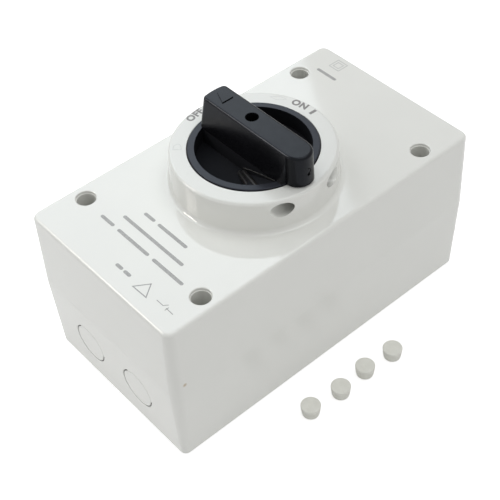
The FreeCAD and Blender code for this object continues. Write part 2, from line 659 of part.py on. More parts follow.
def handle_moulding():
    """Handle in one, before its tail is parted off."""
    skirt_low_z = COLLAR_FLOOR_Z + SKIRT_GAP
    disc = rod(DISC_RADIUS, skirt_low_z, RIM_Z)
    disc = disc.makeFillet(RIM_EDGE_RADIUS, edges_at_height(disc, RIM_Z))
    disc = disc.cut(rod(DISC_RADIUS - RIM_WIDTH, DISH_Z, RIM_Z + 1))
    disc = disc.cut(rod(DISC_RADIUS - RIM_WIDTH, skirt_low_z - 1, HANDLE_UNDER_Z))
    inside = rod(DISC_RADIUS - RIM_WIDTH / 2, HANDLE_UNDER_Z, RIM_Z)
    bar_foot = block(DISC_RADIUS, BAR_FOOT_HALF, HANDLE_UNDER_Z, RIM_Z).common(inside)
    bar = grip_bar()
    hub = rod(HUB_RADIUS, HUB_BOTTOM_Z, DISH_Z)
    grip = joined([disc, bar_foot, bar, hub, dish_wedge(-1), dish_wedge(1)])
    core_half = BAR_TOP_HALF - BAR_SKIN
    core = box(-POINTER_TOP_RADIUS + BAR_CORE_INSET, TAIL_X - BAR_CORE_INSET, -core_half, core_half,
               skirt_low_z - 1, HANDLE_TOP_Z - BAR_SKIN)
    core = core.cut(rod(HUB_RADIUS, HUB_BOTTOM_Z, HANDLE_TOP_Z))
    pin_hole = Vector(TAIL_X + BAR_TOP_HALF - PIN_HOLE_DEPTH, 0, RIM_Z + PIN_HOLE_RISE)
    seal_low_z = SEAL_Z - SEAL_GROOVE_WIDTH / 2
    ring_low_z = RING_TOP_Z - RING_THICKNESS - SEAT_GAP
    cuts = [
        core,
        ring(SEAL_GROOVE_RADIUS, HUB_RADIUS + 1, seal_low_z, seal_low_z + SEAL_GROOVE_WIDTH),
        ring(HUB_RADIUS - RING_GROOVE_DEPTH, HUB_RADIUS + 1, ring_low_z, RING_TOP_Z + SEAT_GAP),
        square_rod(SPINDLE_SIDE + SEAT_GAP, HUB_BOTTOM_Z - 1, HANDLE_UNDER_Z),
        rod(HANDLE_SCREW_BORE, HANDLE_SCREW_SEAT_Z, HANDLE_TOP_Z + 1),
        rod(HANDLE_SCREW_RADIUS + SEAT_GAP, HANDLE_UNDER_Z - 1, HANDLE_TOP_Z),
        lock_passage(),
        Part.makeCylinder(PIN_HOLE_RADIUS, TAIL_FOOT_HALF, pin_hole, Vector(1, 0, 0)),
    ]
    grip = grip.cut(Part.makeCompound(cuts))
    mark_base = MARK_TIP - MARK_LENGTH
    mark = Part.Face(Part.makePolygon([
        Vector(-MARK_TIP, 0, HANDLE_TOP_Z - 1), Vector(-mark_base, -MARK_HALF, HANDLE_TOP_Z - 1),
        Vector(-mark_base, MARK_HALF, HANDLE_TOP_Z - 1), Vector(-MARK_TIP, 0, HANDLE_TOP_Z - 1),
    ])).extrude(Vector(0, 0, 1 + MARK_RISE))
    return joined([grip, mark])


def handle_and_tail():
    moulding = handle_moulding()
    return moulding.cut(lock_side()), moulding.common(lock_side())


def handle_screw():
    return slotted_screw(0, 0, HANDLE_SCREW_SEAT_Z, HANDLE_SCREW_RADIUS, HANDLE_SCREW_LENGTH,
                         HANDLE_SCREW_HEAD, HANDLE_SCREW_HEAD_HEIGHT)


def hub_seal():
    major = HUB_BORE_RADIUS - SEAT_GAP - SEAL_SECTION
    return Part.makeTorus(major, SEAL_SECTION, Vector(0, 0, SEAL_Z))


def hub_retaining_ring():
    inner = HUB_RADIUS - RING_GROOVE_DEPTH + SEAT_GAP
    low = RING_TOP_Z - RING_THICKNESS
    half_angle = (360 - RING_GAP_ANGLE) / 2
    return sector(inner, inner + RING_WIDTH, 180, half_angle, low, low + RING_THICKNESS)


def din_rail():
    half = RAIL_WIDTH / 2
    web = RAIL_WEB_WIDTH / 2
    top = RAIL_TOP_Z
    sheet = RAIL_SHEET
    points = [
        (-half, top), (-half, top - sheet), (-web, top - sheet), (-web, RAIL_SEAT_Z), (web, RAIL_SEAT_Z),
        (web, top - sheet), (half, top - sheet), (half, top), (web - sheet, top),
        (web - sheet, RAIL_SEAT_Z + sheet), (-web + sheet, RAIL_SEAT_Z + sheet), (-web + sheet, top),
    ]
    corners = [Vector(-RAIL_LENGTH / 2, y, z) for y, z in points + [points[0]]]
    rail = Part.Face(Part.makePolygon(corners)).extrude(Vector(RAIL_LENGTH, 0, 0))
    for side in (-1, 1):
        hole_radius = SCREW_RADIUS + CONTACT_GAP
        rail = rail.cut(rod(hole_radius, RAIL_SEAT_Z - 1, RAIL_SEAT_Z + sheet + 1, side * RAIL_POST_X))
    return rail


def rail_screws():
    screws = [
        slotted_screw(side * RAIL_POST_X, 0, RAIL_SEAT_Z + RAIL_SHEET, SCREW_RADIUS,
                      RAIL_SEAT_Z + RAIL_SHEET - RAIL_SCREW_TIP_Z,
                      RAIL_SCREW_HEAD_RADIUS, RAIL_SCREW_HEAD_HEIGHT)
        for side in (-1, 1)
    ]
    return Part.makeCompound(screws)


def hook_levels():
    """Underside and top of the hook lips that grip the rail flange from below."""
    lip_top = RAIL_TOP_Z - RAIL_SHEET - SEAT_GAP
    return RAIL_TOP_Z - HOOK_DEPTH, lip_top


def switch_foot():
    edge = RAIL_WIDTH / 2
    lip_low, lip_top = hook_levels()
    body = block(BLOCK_HALF_X, FOOT_HALF_Y, RAIL_TOP_Z, DECK_Z)
    stem = box(-HOOK_HALF_X, HOOK_HALF_X, edge + SEAT_GAP, edge + HOOK_WALL, lip_low, RAIL_TOP_Z)
    lip = box(-HOOK_HALF_X, HOOK_HALF_X, edge - HOOK_GRIP, edge + HOOK_WALL, lip_low, lip_top)
    latch_low = lip_top - LATCH_THICKNESS
    guide_low = latch_low - MOVING_GAP - GUIDE_LEDGE
    pieces = [body, stem, lip]
    for side in (-1, 1):
        inner = side * (LATCH_HALF_X + MOVING_GAP)
        outer = side * (LATCH_HALF_X + MOVING_GAP + GUIDE_WALL)
        ledge = side * (LATCH_HALF_X - GUIDE_WALL)
        x0, x1 = sorted((inner, outer))
        pieces.append(box(x0, x1, -FOOT_HALF_Y, -edge - SEAT_GAP, guide_low, RAIL_TOP_Z))
        x0, x1 = sorted((ledge, outer))
        pieces.append(box(x0, x1, -FOOT_HALF_Y, -edge - SEAT_GAP, guide_low, guide_low + GUIDE_LEDGE))
    foot = joined(pieces)
    cuts = [rod(SHAFT_JOURNAL + MOVING_GAP, SHAFT_FOOT_Z, DECK_Z + 1)]
    for x, y in four_corners(BOLT_X, BOLT_Y):
        cuts.append(rod(BOLT_RADIUS + SEAT_GAP, RAIL_TOP_Z - 1, DECK_Z + 1, x, y))
        pocket_top = RAIL_TOP_Z + NUT_HEIGHT + SEAT_GAP
        cuts.append(hexagon(NUT_FLATS + 2 * SEAT_GAP, RAIL_TOP_Z, pocket_top, x, y))
    return foot.cut(Part.makeCompound(cuts))


def rail_latch():
    edge = RAIL_WIDTH / 2
    lip_top = hook_levels()[1]
    low = lip_top - LATCH_THICKNESS
    tip = box(-LATCH_HALF_X, LATCH_HALF_X, -edge, -edge + HOOK_GRIP, low, lip_top)
    plate = box(-LATCH_HALF_X, LATCH_HALF_X, -LATCH_END_Y, -edge - SEAT_GAP, low, RAIL_TOP_Z - MOVING_GAP)
    bridge = box(-LATCH_HALF_X, LATCH_HALF_X, -edge - 1, -edge, low, lip_top)
    latch = joined([tip, plate, bridge])
    slot_x, slot_y = LATCH_SLOT
    slot_middle = LATCH_SLOT_INSET - LATCH_END_Y
    return latch.cut(block(slot_x / 2, slot_y / 2, low - 1, RAIL_TOP_Z, 0, slot_middle))


def terminal_y(level):
    return TERMINAL_Y_LOWER if level < DECK_COUNT / 2 else TERMINAL_Y_UPPER


def terminal_side(level):
    return -1 if level % 2 == 0 else 1


def deck_bottom(level):
    return DECK_Z + level * DECK_PITCH


def contact_blank(level, end, grow, z0, z1):
    """Outline of a fixed contact, from its tip in the chamber to its end in the terminal."""
    side = terminal_side(level)
    half = CONTACT_HALF + grow
    reach = terminal_y(level) + CONTACT_TAIL + grow
    jog_low = CONTACT_JOG_Y - grow
    jog_high = CONTACT_JOG_Y + CONTACT_JOG_WIDTH + grow
    jog_end = side * (TERMINAL_X + half)
    spans = [
        (-half, half, CONTACT_TIP_Y - grow, jog_high),
        tuple(sorted((-side * half, jog_end))) + (jog_low, jog_high),
        (side * TERMINAL_X - half, side * TERMINAL_X + half, jog_low, reach),
    ]
    pieces = []
    for x0, x1, y0, y1 in spans:
        y_low, y_high = sorted((end * y0, end * y1))
        pieces.append(box(x0, x1, y_low, y_high, z0, z1))
    return joined(pieces)


def contact_deck(level):
    z0 = deck_bottom(level)
    z1 = z0 + DECK_PITCH
    half_y = terminal_y(level) + TERMINAL_LIP
    deck = block(BLOCK_HALF_X, half_y, z0, z1)
    strip_low = z0 + CONTACT_Z - CONTACT_THICKNESS / 2
    cage_x = terminal_side(level) * TERMINAL_X
    cuts = [rod(CHAMBER_RADIUS, z0 + DECK_FLOOR, z1 + 1), rod(SHAFT_PASS_RADIUS, z0 - 1, z1)]
    cuts += [rod(BOLT_RADIUS + SEAT_GAP, z0 - 1, z1 + 1, x, y) for x, y in four_corners(BOLT_X, BOLT_Y)]
    pocket = CAGE_HALF + MOVING_GAP
    for end in (-1, 1):
        cuts.append(contact_blank(level, end, CONTACT_GAP, strip_low, z1 + 1))
        near, far = sorted((end * (terminal_y(level) - pocket), end * (half_y + 1)))
        cuts.append(box(cage_x - pocket, cage_x + pocket, near, far, z0 + DECK_FLOOR, z1 + 1))
        if level % 2 == 1:
            access_radius = TERMINAL_SCREW_HEAD + MOVING_GAP
            cuts.append(rod(access_radius, z0 - 1, z1 + 1, -cage_x, end * terminal_y(level)))
    return deck.cut(Part.makeCompound(cuts))


def fixed_contacts(level):
    middle = deck_bottom(level) + CONTACT_Z
    half = CONTACT_THICKNESS / 2
    return Part.makeCompound([contact_blank(level, end, 0, middle - half, middle + half) for end in (-1, 1)])


def terminal_places():
    """Centre of each terminal and the bottom of its deck."""
    places = []
    for level in range(DECK_COUNT):
        for end in (-1, 1):
            places.append((terminal_side(level) * TERMINAL_X, end * terminal_y(level), deck_bottom(level)))
    return places


def terminal_clamps():
    clamps = []
    for x, y, z0 in terminal_places():
        low = z0 + DECK_FLOOR
        cage = block(CAGE_HALF, CAGE_HALF, low, low + CAGE_HEIGHT, x, y)
        opening = block(CAGE_HALF - CAGE_WALL + CONTACT_GAP, CAGE_HALF + 1, low + CAGE_WALL,
                        low + CAGE_HEIGHT - 1.5 * CAGE_WALL, x, y)
        screw_hole = rod(TERMINAL_SCREW_RADIUS, low + CAGE_WALL, low + CAGE_HEIGHT + 1, x, y)
        clamps.append(cage.cut(opening).cut(screw_hole))
    return Part.makeCompound(clamps)


def terminal_screws():
    screws = []
    for x, y, z0 in terminal_places():
        seat_z = z0 + DECK_FLOOR + CAGE_HEIGHT
        strip_top = z0 + CONTACT_Z + CONTACT_THICKNESS / 2
        screws.append(slotted_screw(x, y, seat_z, TERMINAL_SCREW_RADIUS, seat_z - strip_top,
                                    TERMINAL_SCREW_HEAD, z0 + DECK_PITCH - seat_z))
    return Part.makeCompound(screws)


def blade(level, grow):
    """Bridging contact: two leaves that straddle the fixed contacts, on a thick middle."""
    middle = deck_bottom(level) + CONTACT_Z
    leaf_low = CONTACT_THICKNESS / 2 + CONTACT_GAP
    leaf_high = leaf_low + BLADE_THICKNESS
    pieces = [rod(BLADE_CORE_RADIUS + grow, middle - leaf_high - grow, middle + leaf_high + grow)]
    for low, high in ((-leaf_high - grow, -leaf_low + grow), (leaf_low - grow, leaf_high + grow)):
        pieces.append(block(BLADE_RADIUS, CONTACT_HALF + grow, middle + low, middle + high))
    return joined(pieces)


def moving_contact(level):
    z0 = deck_bottom(level)
    return blade(level, 0).cut(square_rod(SHAFT_SIDE + 2 * CONTACT_GAP, z0, z0 + DECK_PITCH))


def rotor(level):
    z0 = deck_bottom(level)
    drum = rod(ROTOR_RADIUS, z0 + DECK_FLOOR + MOVING_GAP, z0 + DECK_PITCH - MOVING_GAP)
    drum = drum.cut(blade(level, SEAT_GAP / 2))
    return drum.cut(square_rod(SHAFT_SIDE + SEAT_GAP, z0, z0 + DECK_PITCH))


def deck_bolts():
    bolts = []
    length = BLOCK_TOP_Z - RAIL_TOP_Z - MOVING_GAP
    for x, y in four_corners(BOLT_X, BOLT_Y):
        bolt = slotted_screw(x, y, BLOCK_TOP_Z, BOLT_RADIUS, length, BOLT_HEAD_RADIUS, BOLT_HEAD_HEIGHT)
        bolts.append(bolt)
    return Part.makeCompound(bolts)


def deck_nuts():
    nuts = []
    for x, y in four_corners(BOLT_X, BOLT_Y):
        top = RAIL_TOP_Z + NUT_HEIGHT + SEAT_GAP
        nut = hexagon(NUT_FLATS, top - NUT_HEIGHT, top, x, y)
        nuts.append(nut.cut(rod(BOLT_RADIUS, RAIL_TOP_Z - 1, top + 1, x, y)))
    return Part.makeCompound(nuts)


def contact_shaft():
    journal = rod(SHAFT_JOURNAL, SHAFT_FOOT_Z + MOVING_GAP, DECK_Z)
    square = square_rod(SHAFT_SIDE, DECK_Z, CAM_TOP_Z)
    pilot = rod(SHAFT_PILOT, CAM_TOP_Z, CARRIER_TOP_Z - MOVING_GAP)
    return joined([journal, square, pilot])


def stop_angles():
    """Middle angles of the two stops that end the throw of the cam lug."""
    offset = CAM_LUG_HALF_ANGLE + STOP_GAP_ANGLE + STOP_WIDTH_ANGLE / 2
    return CAM_REST_ANGLE + offset, CAM_REST_ANGLE - THROW_ANGLE - offset


def mechanism_housing():
    floor_top = MECHANISM_Z + MECHANISM_FLOOR
    body = block(BLOCK_HALF_X, MECHANISM_HALF_Y, MECHANISM_Z, MECHANISM_COVER_Z)
    cuts = [
        rod(MECHANISM_RADIUS, floor_top, MECHANISM_COVER_Z + 1),
        rod(SHAFT_PASS_RADIUS, MECHANISM_Z - 1, floor_top + 1),
    ]
    cuts += [
        rod(BOLT_RADIUS + SEAT_GAP, MECHANISM_Z - 1, MECHANISM_COVER_Z + 1, x, y)
        for x, y in four_corners(BOLT_X, BOLT_Y)
    ]
    stops = [
        sector(STOP_INNER_RADIUS, MECHANISM_RADIUS + 0.5, angle, STOP_WIDTH_ANGLE / 2, floor_top - 0.5,
               CAM_TOP_Z - MOVING_GAP)
        for angle in stop_angles()
    ]
    return joined([body.cut(Part.makeCompound(cuts))] + stops)


def mechanism_cover():
    plate = block(BLOCK_HALF_X, MECHANISM_HALF_Y, MECHANISM_COVER_Z, BLOCK_TOP_Z)
    bearing_radius = SPINDLE_JOURNAL + MOVING_GAP
    bearing = rod(bearing_radius + SPINDLE_BEARING_WALL, BLOCK_TOP_Z, BLOCK_TOP_Z + SPINDLE_BEARING_RISE)
    cuts = [rod(bearing_radius, MECHANISM_COVER_Z - 1, BLOCK_TOP_Z + SPINDLE_BEARING_RISE + 1)]
    cuts += [
        rod(BOLT_RADIUS + SEAT_GAP, MECHANISM_COVER_Z - 1, BLOCK_TOP_Z + 1, x, y)
        for x, y in four_corners(BOLT_X, BOLT_Y)
    ]
    return joined([plate, bearing]).cut(Part.makeCompound(cuts))


def output_cam():
    disc = rod(CAM_RADIUS, CAM_Z, CAM_TOP_Z)
    lug = sector(CAM_RADIUS - 1, CAM_LUG_RADIUS, CAM_REST_ANGLE, CAM_LUG_HALF_ANGLE, CAM_Z, CAM_TOP_Z)
    tab = sector(TAB_INNER, TAB_OUTER, CAM_REST_ANGLE, TAB_HALF_ANGLE, CAM_TOP_Z, TAB_TOP_Z)
    cam = joined([disc, lug, tab])
    return cam.cut(square_rod(SHAFT_SIDE + SEAT_GAP, CAM_Z - 1, CAM_TOP_Z + 1))


def snap_spring():
    """Open ring of round wire whose two legs stand on both sides of the cam and carrier tabs."""
    z = SPRING_Z
    arc_middle = CAM_REST_ANGLE + 180
    start = polar(SPRING_RADIUS, CAM_REST_ANGLE + SPRING_LEG_ANGLE, z)
    end = polar(SPRING_RADIUS, CAM_REST_ANGLE - SPRING_LEG_ANGLE, z)
    tangent = polar(1.0, CAM_REST_ANGLE + SPRING_LEG_ANGLE + 90)
    path = Part.Wire([Part.Arc(start, polar(SPRING_RADIUS, arc_middle, z), end).toShape()])
    section = Part.Wire([Part.makeCircle(SPRING_WIRE_RADIUS, start, tangent)])
    spring_ring = path.makePipeShell([section], True, True)
    pieces = [spring_ring]
    for side in (-1, 1):
        angle = CAM_REST_ANGLE + side * SPRING_LEG_ANGLE
        leg_start = polar(SPRING_RADIUS, angle, z)
        outward = polar(1.0, angle)
        pieces.append(Part.makeCylinder(SPRING_WIRE_RADIUS, TAB_OUTER - SPRING_RADIUS, leg_start, outward))
        pieces.append(Part.makeSphere(SPRING_WIRE_RADIUS, leg_start))
    return joined(pieces)


def input_carrier():
    disc = rod(CARRIER_RADIUS, CARRIER_Z, CARRIER_TOP_Z)
    tab = sector(TAB_INNER, TAB_OUTER, CAM_REST_ANGLE, TAB_HALF_ANGLE, CARRIER_Z - TAB_HEIGHT, CARRIER_Z)
    carrier = joined([disc, tab])
    return carrier.cut(square_rod(SPINDLE_SIDE + SEAT_GAP, CARRIER_Z - 1, CARRIER_TOP_Z + 1))


def drive_spindle():
    low_square = square_rod(SPINDLE_SIDE, CARRIER_Z, CARRIER_TOP_Z)
    journal_top = BLOCK_TOP_Z + SPINDLE_BEARING_RISE
    journal = rod(SPINDLE_JOURNAL, CARRIER_TOP_Z, journal_top)
    top_square = square_rod(SPINDLE_SIDE, journal_top, SPINDLE_TOP_Z)
    spindle = joined([low_square, journal, top_square])
    screw_end = HANDLE_SCREW_SEAT_Z - HANDLE_SCREW_LENGTH
    spindle = spindle.cut(rod(SHAFT_PILOT + SEAT_GAP, CARRIER_Z - 1, CARRIER_TOP_Z))
    return spindle.cut(rod(HANDLE_SCREW_RADIUS, screw_end, SPINDLE_TOP_Z + 1))


def earth_terminal():
    bar = block(EARTH_HALF_X, EARTH_HALF_Y, EARTH_Z, EARTH_TOP_Z, 0, EARTH_Y)
    for side in (-1, 1):
        x = side * EARTH_SCREW_X
        mouth = Vector(x, EARTH_Y - EARTH_HALF_Y - 1, EARTH_Z + EARTH_WIRE_RISE)
        bar = bar.cut(Part.makeCylinder(EARTH_BORE_RADIUS, 2 * EARTH_HALF_Y + 2, mouth, Vector(0, 1, 0)))
        bar = bar.cut(rod(EARTH_SCREW_RADIUS, EARTH_Z + EARTH_WIRE_RISE, EARTH_TOP_Z + 1, x, EARTH_Y))
    return bar


def earth_screws():
    shank = EARTH_HEIGHT - EARTH_WIRE_RISE - EARTH_BORE_RADIUS
    screws = [
        slotted_screw(side * EARTH_SCREW_X, EARTH_Y, EARTH_TOP_Z, EARTH_SCREW_RADIUS, shank,
                      EARTH_SCREW_HEAD, EARTH_SCREW_HEAD_HEIGHT)
        for side in (-1, 1)
    ]
    return Part.makeCompound(screws)


def all_nodes():
    """Every piece of the switch by node name."""
    cover, collar, collar_lock_side = cover_and_collar()
    handle, handle_tail = handle_and_tail()
    nodes = {
        "enclosure_base": enclosure_base(),
        "enclosure_cover": cover,
        "cover_collar": collar,
        "collar_lock_side": collar_lock_side,
        "cover_gasket": cover_gasket(),
        "threaded_inserts": threaded_inserts(),
        "cover_screws": cover_screws(),
        "screw_caps": screw_caps(),
        "handle": handle,
        "handle_tail": handle_tail,
        "handle_screw": handle_screw(),
        "hub_seal": hub_seal(),
        "hub_retaining_ring": hub_retaining_ring(),
        "drive_spindle": drive_spindle(),
        "input_carrier": input_carrier(),
        "snap_spring": snap_spring(),
        "output_cam": output_cam(),
        "contact_shaft": contact_shaft(),
        "mechanism_housing": mechanism_housing(),
        "mechanism_cover": mechanism_cover(),
        "deck_bolts": deck_bolts(),
        "deck_nuts": deck_nuts(),
        "terminal_clamps": terminal_clamps(),
        "terminal_screws": terminal_screws(),
        "switch_foot": switch_foot(),
        "rail_latch": rail_latch(),
        "din_rail": din_rail(),
        "rail_screws": rail_screws(),
        "earth_terminal": earth_terminal(),
        "earth_screws": earth_screws(),
    }
    for level in range(DECK_COUNT):
        number = level + 1
        nodes[f"contact_deck_{number}"] = contact_deck(level)
        nodes[f"fixed_contacts_{number}"] = fixed_contacts(level)
        nodes[f"rotor_{number}"] = rotor(level)
        nodes[f"moving_contact_{number}"] = moving_contact(level)
    return nodes


def main():
    os.makedirs("parts", exist_ok=True)
    for name, shape in all_nodes().items():
        shape.exportStep(f"parts/{name}.step")
        print(name, len(shape.Solids), "solids", round(shape.Volume, 1), "mm3", "valid", shape.isValid())


main()
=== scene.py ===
"""Looks of the rotary isolator switch: a white case with a black handle, lying on its back.

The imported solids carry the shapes. This script gives each one a finish, adds the print, the dial
lettering, the moulding marks and the cap ribs, and sets up the camera and the studio.
"""

from __future__ import annotations

import json
import logging
import math
from collections.abc import Sequence
from dataclasses import dataclass
from enum import Enum

import bmesh
import bpy
from bpy.types import Material
from bpy.types import Node
from bpy.types import Object
from mathutils import Matrix
from mathutils import Vector

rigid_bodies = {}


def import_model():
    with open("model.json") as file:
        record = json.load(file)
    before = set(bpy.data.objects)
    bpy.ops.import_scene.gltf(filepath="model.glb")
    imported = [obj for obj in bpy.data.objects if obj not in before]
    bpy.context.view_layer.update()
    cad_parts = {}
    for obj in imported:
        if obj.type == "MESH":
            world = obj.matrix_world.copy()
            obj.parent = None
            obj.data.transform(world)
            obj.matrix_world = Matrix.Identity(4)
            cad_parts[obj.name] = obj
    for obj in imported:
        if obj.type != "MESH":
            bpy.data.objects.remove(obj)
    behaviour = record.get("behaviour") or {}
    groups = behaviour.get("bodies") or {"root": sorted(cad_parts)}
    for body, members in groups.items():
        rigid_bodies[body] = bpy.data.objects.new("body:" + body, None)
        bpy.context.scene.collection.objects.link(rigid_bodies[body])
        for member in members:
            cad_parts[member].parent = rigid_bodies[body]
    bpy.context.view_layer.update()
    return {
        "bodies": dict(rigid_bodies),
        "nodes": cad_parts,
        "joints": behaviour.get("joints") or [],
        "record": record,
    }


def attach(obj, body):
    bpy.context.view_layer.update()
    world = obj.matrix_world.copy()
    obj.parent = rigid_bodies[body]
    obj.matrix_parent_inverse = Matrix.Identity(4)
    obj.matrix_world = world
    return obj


LOG = logging.getLogger("isolator")
MM = 0.001

Point = tuple[float, float]
Place = tuple[float, float, float]
Colour = tuple[float, float, float]
Socket = str | int


class Body(Enum):
    """The moving bodies that a piece can ride on."""

    CASE = "case"
    TURNING = "turning_train"


class Slot(Enum):
    """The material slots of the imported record."""

    WHITE_SHELL = "white_shell"
    BLACK_HANDLE = "black_handle"
    PALE_CAP = "pale_cap"
    GREY_SEAL = "grey_seal"
    BLACK_SEAL = "black_seal"
    ZINC_STEEL = "zinc_steel"
    SPRING_STEEL = "spring_steel"
    RAIL_STEEL = "rail_steel"
    BRASS = "brass"
    COPPER = "copper"
    DARK_MOULDING = "dark_moulding"
    PALE_MOULDING = "pale_moulding"


class Trim(Enum):
    """The finishes of the marks that this script adds."""

    PRINT = "cover print"
    PALE_PRINT = "corner print"
    DIAL_PRINT = "dial print"
    FAINT_LINE = "lock sign"
    GROOVE_SHADE = "tail ring"
    NICK_SHADE = "knock-out nick"
    CREST = "dish crest"
    RIDGE = "dish ridge"


# Finishes


class Nodes:
    """Thin helper around a node tree."""

    def __init__(self, tree: bpy.types.NodeTree) -> None:
        """Takes a tree and empties it."""
        self.tree = tree
        tree.nodes.clear()

    def add(self, kind: str, values: dict[Socket, object] | None = None, **settings: object) -> Node:
        """Adds a node.

        Args:
            kind: Its type.
            values: Values of its input sockets, by name or number.
            settings: Values of its own settings.

        Returns:
            The node.
        """
        node = self.tree.nodes.new(kind)
        for name, value in settings.items():
            setattr(node, name, value)
        for socket, value in (values or {}).items():
            node.inputs[socket].default_value = value
        return node

    def link(self, source: Node, out: Socket, target: Node, into: Socket) -> None:
        """Joins one node's output socket to another's input socket, each by name or number."""
        self.tree.links.new(source.outputs[out], target.inputs[into])

    def span(self, source: Node, out: Socket, start: float, end: float, low: float = 0.0,
             high: float = 1.0, kind: str = "LINEAR") -> Node:
        """Maps a node's value to a range, and holds it at the range's ends.

        Args:
            source: Node that gives the value.
            out: Its output socket.
            start: Value where the range starts.
            end: Value where it ends.
            low: Result at the start.
            high: Result at the end.
            kind: Interpolation between them.

        Returns:
            The Map Range node.
        """
        values = {"From Min": start, "From Max": end, "To Min": low, "To Max": high}
        node = self.add("ShaderNodeMapRange", values, interpolation_type=kind)
        self.link(source, out, node, "Value")
        return node

    def for_rays(self, rays: Sequence[str], other: float, seen: float) -> Node:
        """A strength that depends on the kind of ray.

        Args:
            rays: The kinds that see the surface, as sockets of the Light Path node.
            other: Strength for all other rays.
            seen: Strength for those.

        Returns:
            The Map Range node.
        """
        path = self.add("ShaderNodeLightPath")
        source, out = path, rays[0]
        for ray in rays[1:]:
            either = self.add("ShaderNodeMath", operation="MAXIMUM")
            self.link(source, out, either, 0)
            self.link(path, ray, either, 1)
            source, out = either, "Value"
        return self.span(source, out, 0.0, 1.0, other, seen)


class NodeSheet(Nodes):
    """Node tree of a material with one main shader."""

    NOISE_SPAN = (0.35, 0.65)
    MIX_FIRST = 6
    MIX_SECOND = 7
    MIX_RESULT = 2

    def __init__(self, name: str) -> None:
        """Starts the material.

        Args:
            name: Its name.
        """
        self.material = bpy.data.materials.new(name)
        self.material.use_nodes = True
        super().__init__(self.material.node_tree)
        self.shader = self.add("ShaderNodeBsdfPrincipled")
        self.link(self.shader, "BSDF", self.add("ShaderNodeOutputMaterial"), "Surface")
        self.coordinates = self.add("ShaderNodeTexCoord")

    def mapped(self, stretch: Place) -> Node:
        """Object coordinates, stretched along each axis."""
        node = self.add("ShaderNodeMapping", {"Scale": stretch})
        self.link(self.coordinates, "Object", node, "Vector")
        return node

    def noise(self, scale: float, detail: float, stretch: Place = (1.0, 1.0, 1.0)) -> Node:
        """Noise on Object coordinates.

        Args:
            scale: Grains per metre.
            detail: Octaves of finer noise.
            stretch: Stretch of the coordinates along each axis.

        Returns:
            The Noise Texture node.
        """
        node = self.add("ShaderNodeTexNoise", {"Scale": scale, "Detail": detail})
        self.link(self.mapped(stretch), "Vector", node, "Vector")
        return node

    def ramp(self, noise: Node, low: float, high: float) -> Node:
        """Maps the middle values of a noise to a range, through a smooth step."""
        return self.span(noise, "Fac", *self.NOISE_SPAN, low, high, "SMOOTHSTEP")

    def rise(self, start: float, end: float, low: float = 0.0, high: float = 1.0) -> Node:
        """Ramp by height above the table, from low at the start to high at the end, in metres."""
        parts = self.add("ShaderNodeSeparateXYZ")
        self.link(self.coordinates, "Object", parts, "Vector")
        return self.span(parts, "Z", start, end, low, high, "SMOOTHSTEP")

    def reach(self, start: float, end: float) -> Node:
        """Ramp by distance from the handle's axis, from 0 at the start to 1 at the end, in metres."""
        distance = self.add("ShaderNodeVectorMath", operation="LENGTH")
        self.link(self.mapped((1.0, 1.0, 0.0)), "Vector", distance, "Vector")
        return self.span(distance, "Value", start, end)

    def band(self, within: Node, bottom: Point, top: Point) -> Node:
        """Keeps a share of 0 to 1 between two heights only.

        Args:
            within: Map Range node of the share.
            bottom: Start and end of the lower edge, in metres.
            top: Start and end of the upper edge.

        Returns:
            The Map Range node of the share that is left.
        """
        above = self.rise(*bottom)
        self.link(within, "Result", above, "To Max")
        below = self.rise(*top, high=0.0)
        self.link(above, "Result", below, "To Min")
        return below

    def mix(self, first: Colour, second: Colour, share: Node) -> Node:
        """Mixes two colours.

        Args:
            first: Colour where the share is 0.
            second: Colour where it is 1.
            share: Map Range node of the share.

        Returns:
            The Mix node.
        """
        colours = {self.MIX_FIRST: (*first, 1.0), self.MIX_SECOND: (*second, 1.0)}
        node = self.add("ShaderNodeMix", colours, data_type="RGBA")
        self.link(share, "Result", node, 0)
        return node

    def over(self, under: Node, colour: Colour, share: Node) -> Node:
        """Lays one plain colour over the colour of a Mix node, by a share, as a new Mix node."""
        node = self.mix(colour, colour, share)
        self.link(under, self.MIX_RESULT, node, self.MIX_FIRST)
        return node

    def clouds(self, scale: float, detail: float, first: Colour, second: Colour) -> Node:
        """Drifts from one colour to another in soft clouds, as a Mix node."""
        return self.mix(first, second, self.ramp(self.noise(scale, detail), 0.0, 1.0))

    def paint(self, colour: Node) -> None:
        """Gives the shader the colour of a Mix node."""
        self.link(colour, self.MIX_RESULT, self.shader, "Base Color")

    def roughen(self, rough: Node) -> None:
        """Gives the shader the roughness of a Map Range node."""
        self.link(rough, "Result", self.shader, "Roughness")

    def set(self, **values: object) -> None:
        """Sets sockets of the shader, with spaces in their names written as underscores."""
        for name, value in values.items():
            self.shader.inputs[name.replace("_", " ")].default_value = value

    def bump(self, *layers: tuple[Node, float, float]) -> None:
        """Stacks bump layers on the shader's normal.

        Args:
            layers: For each layer its noise node, strength and depth in metres.
        """
        above = self.shader
        for source, strength, depth in reversed(layers):
            node = self.add("ShaderNodeBump", {"Strength": strength, "Distance": depth})
            self.link(source, "Fac", node, "Height")
            self.link(node, "Normal", above, "Normal")
            above = node


def shade(colour: Colour, factor: float) -> Colour:
    """The same colour, lighter or darker by a factor, kept within 0..1."""
    return tuple(min(channel * factor, 1.0) for channel in colour)


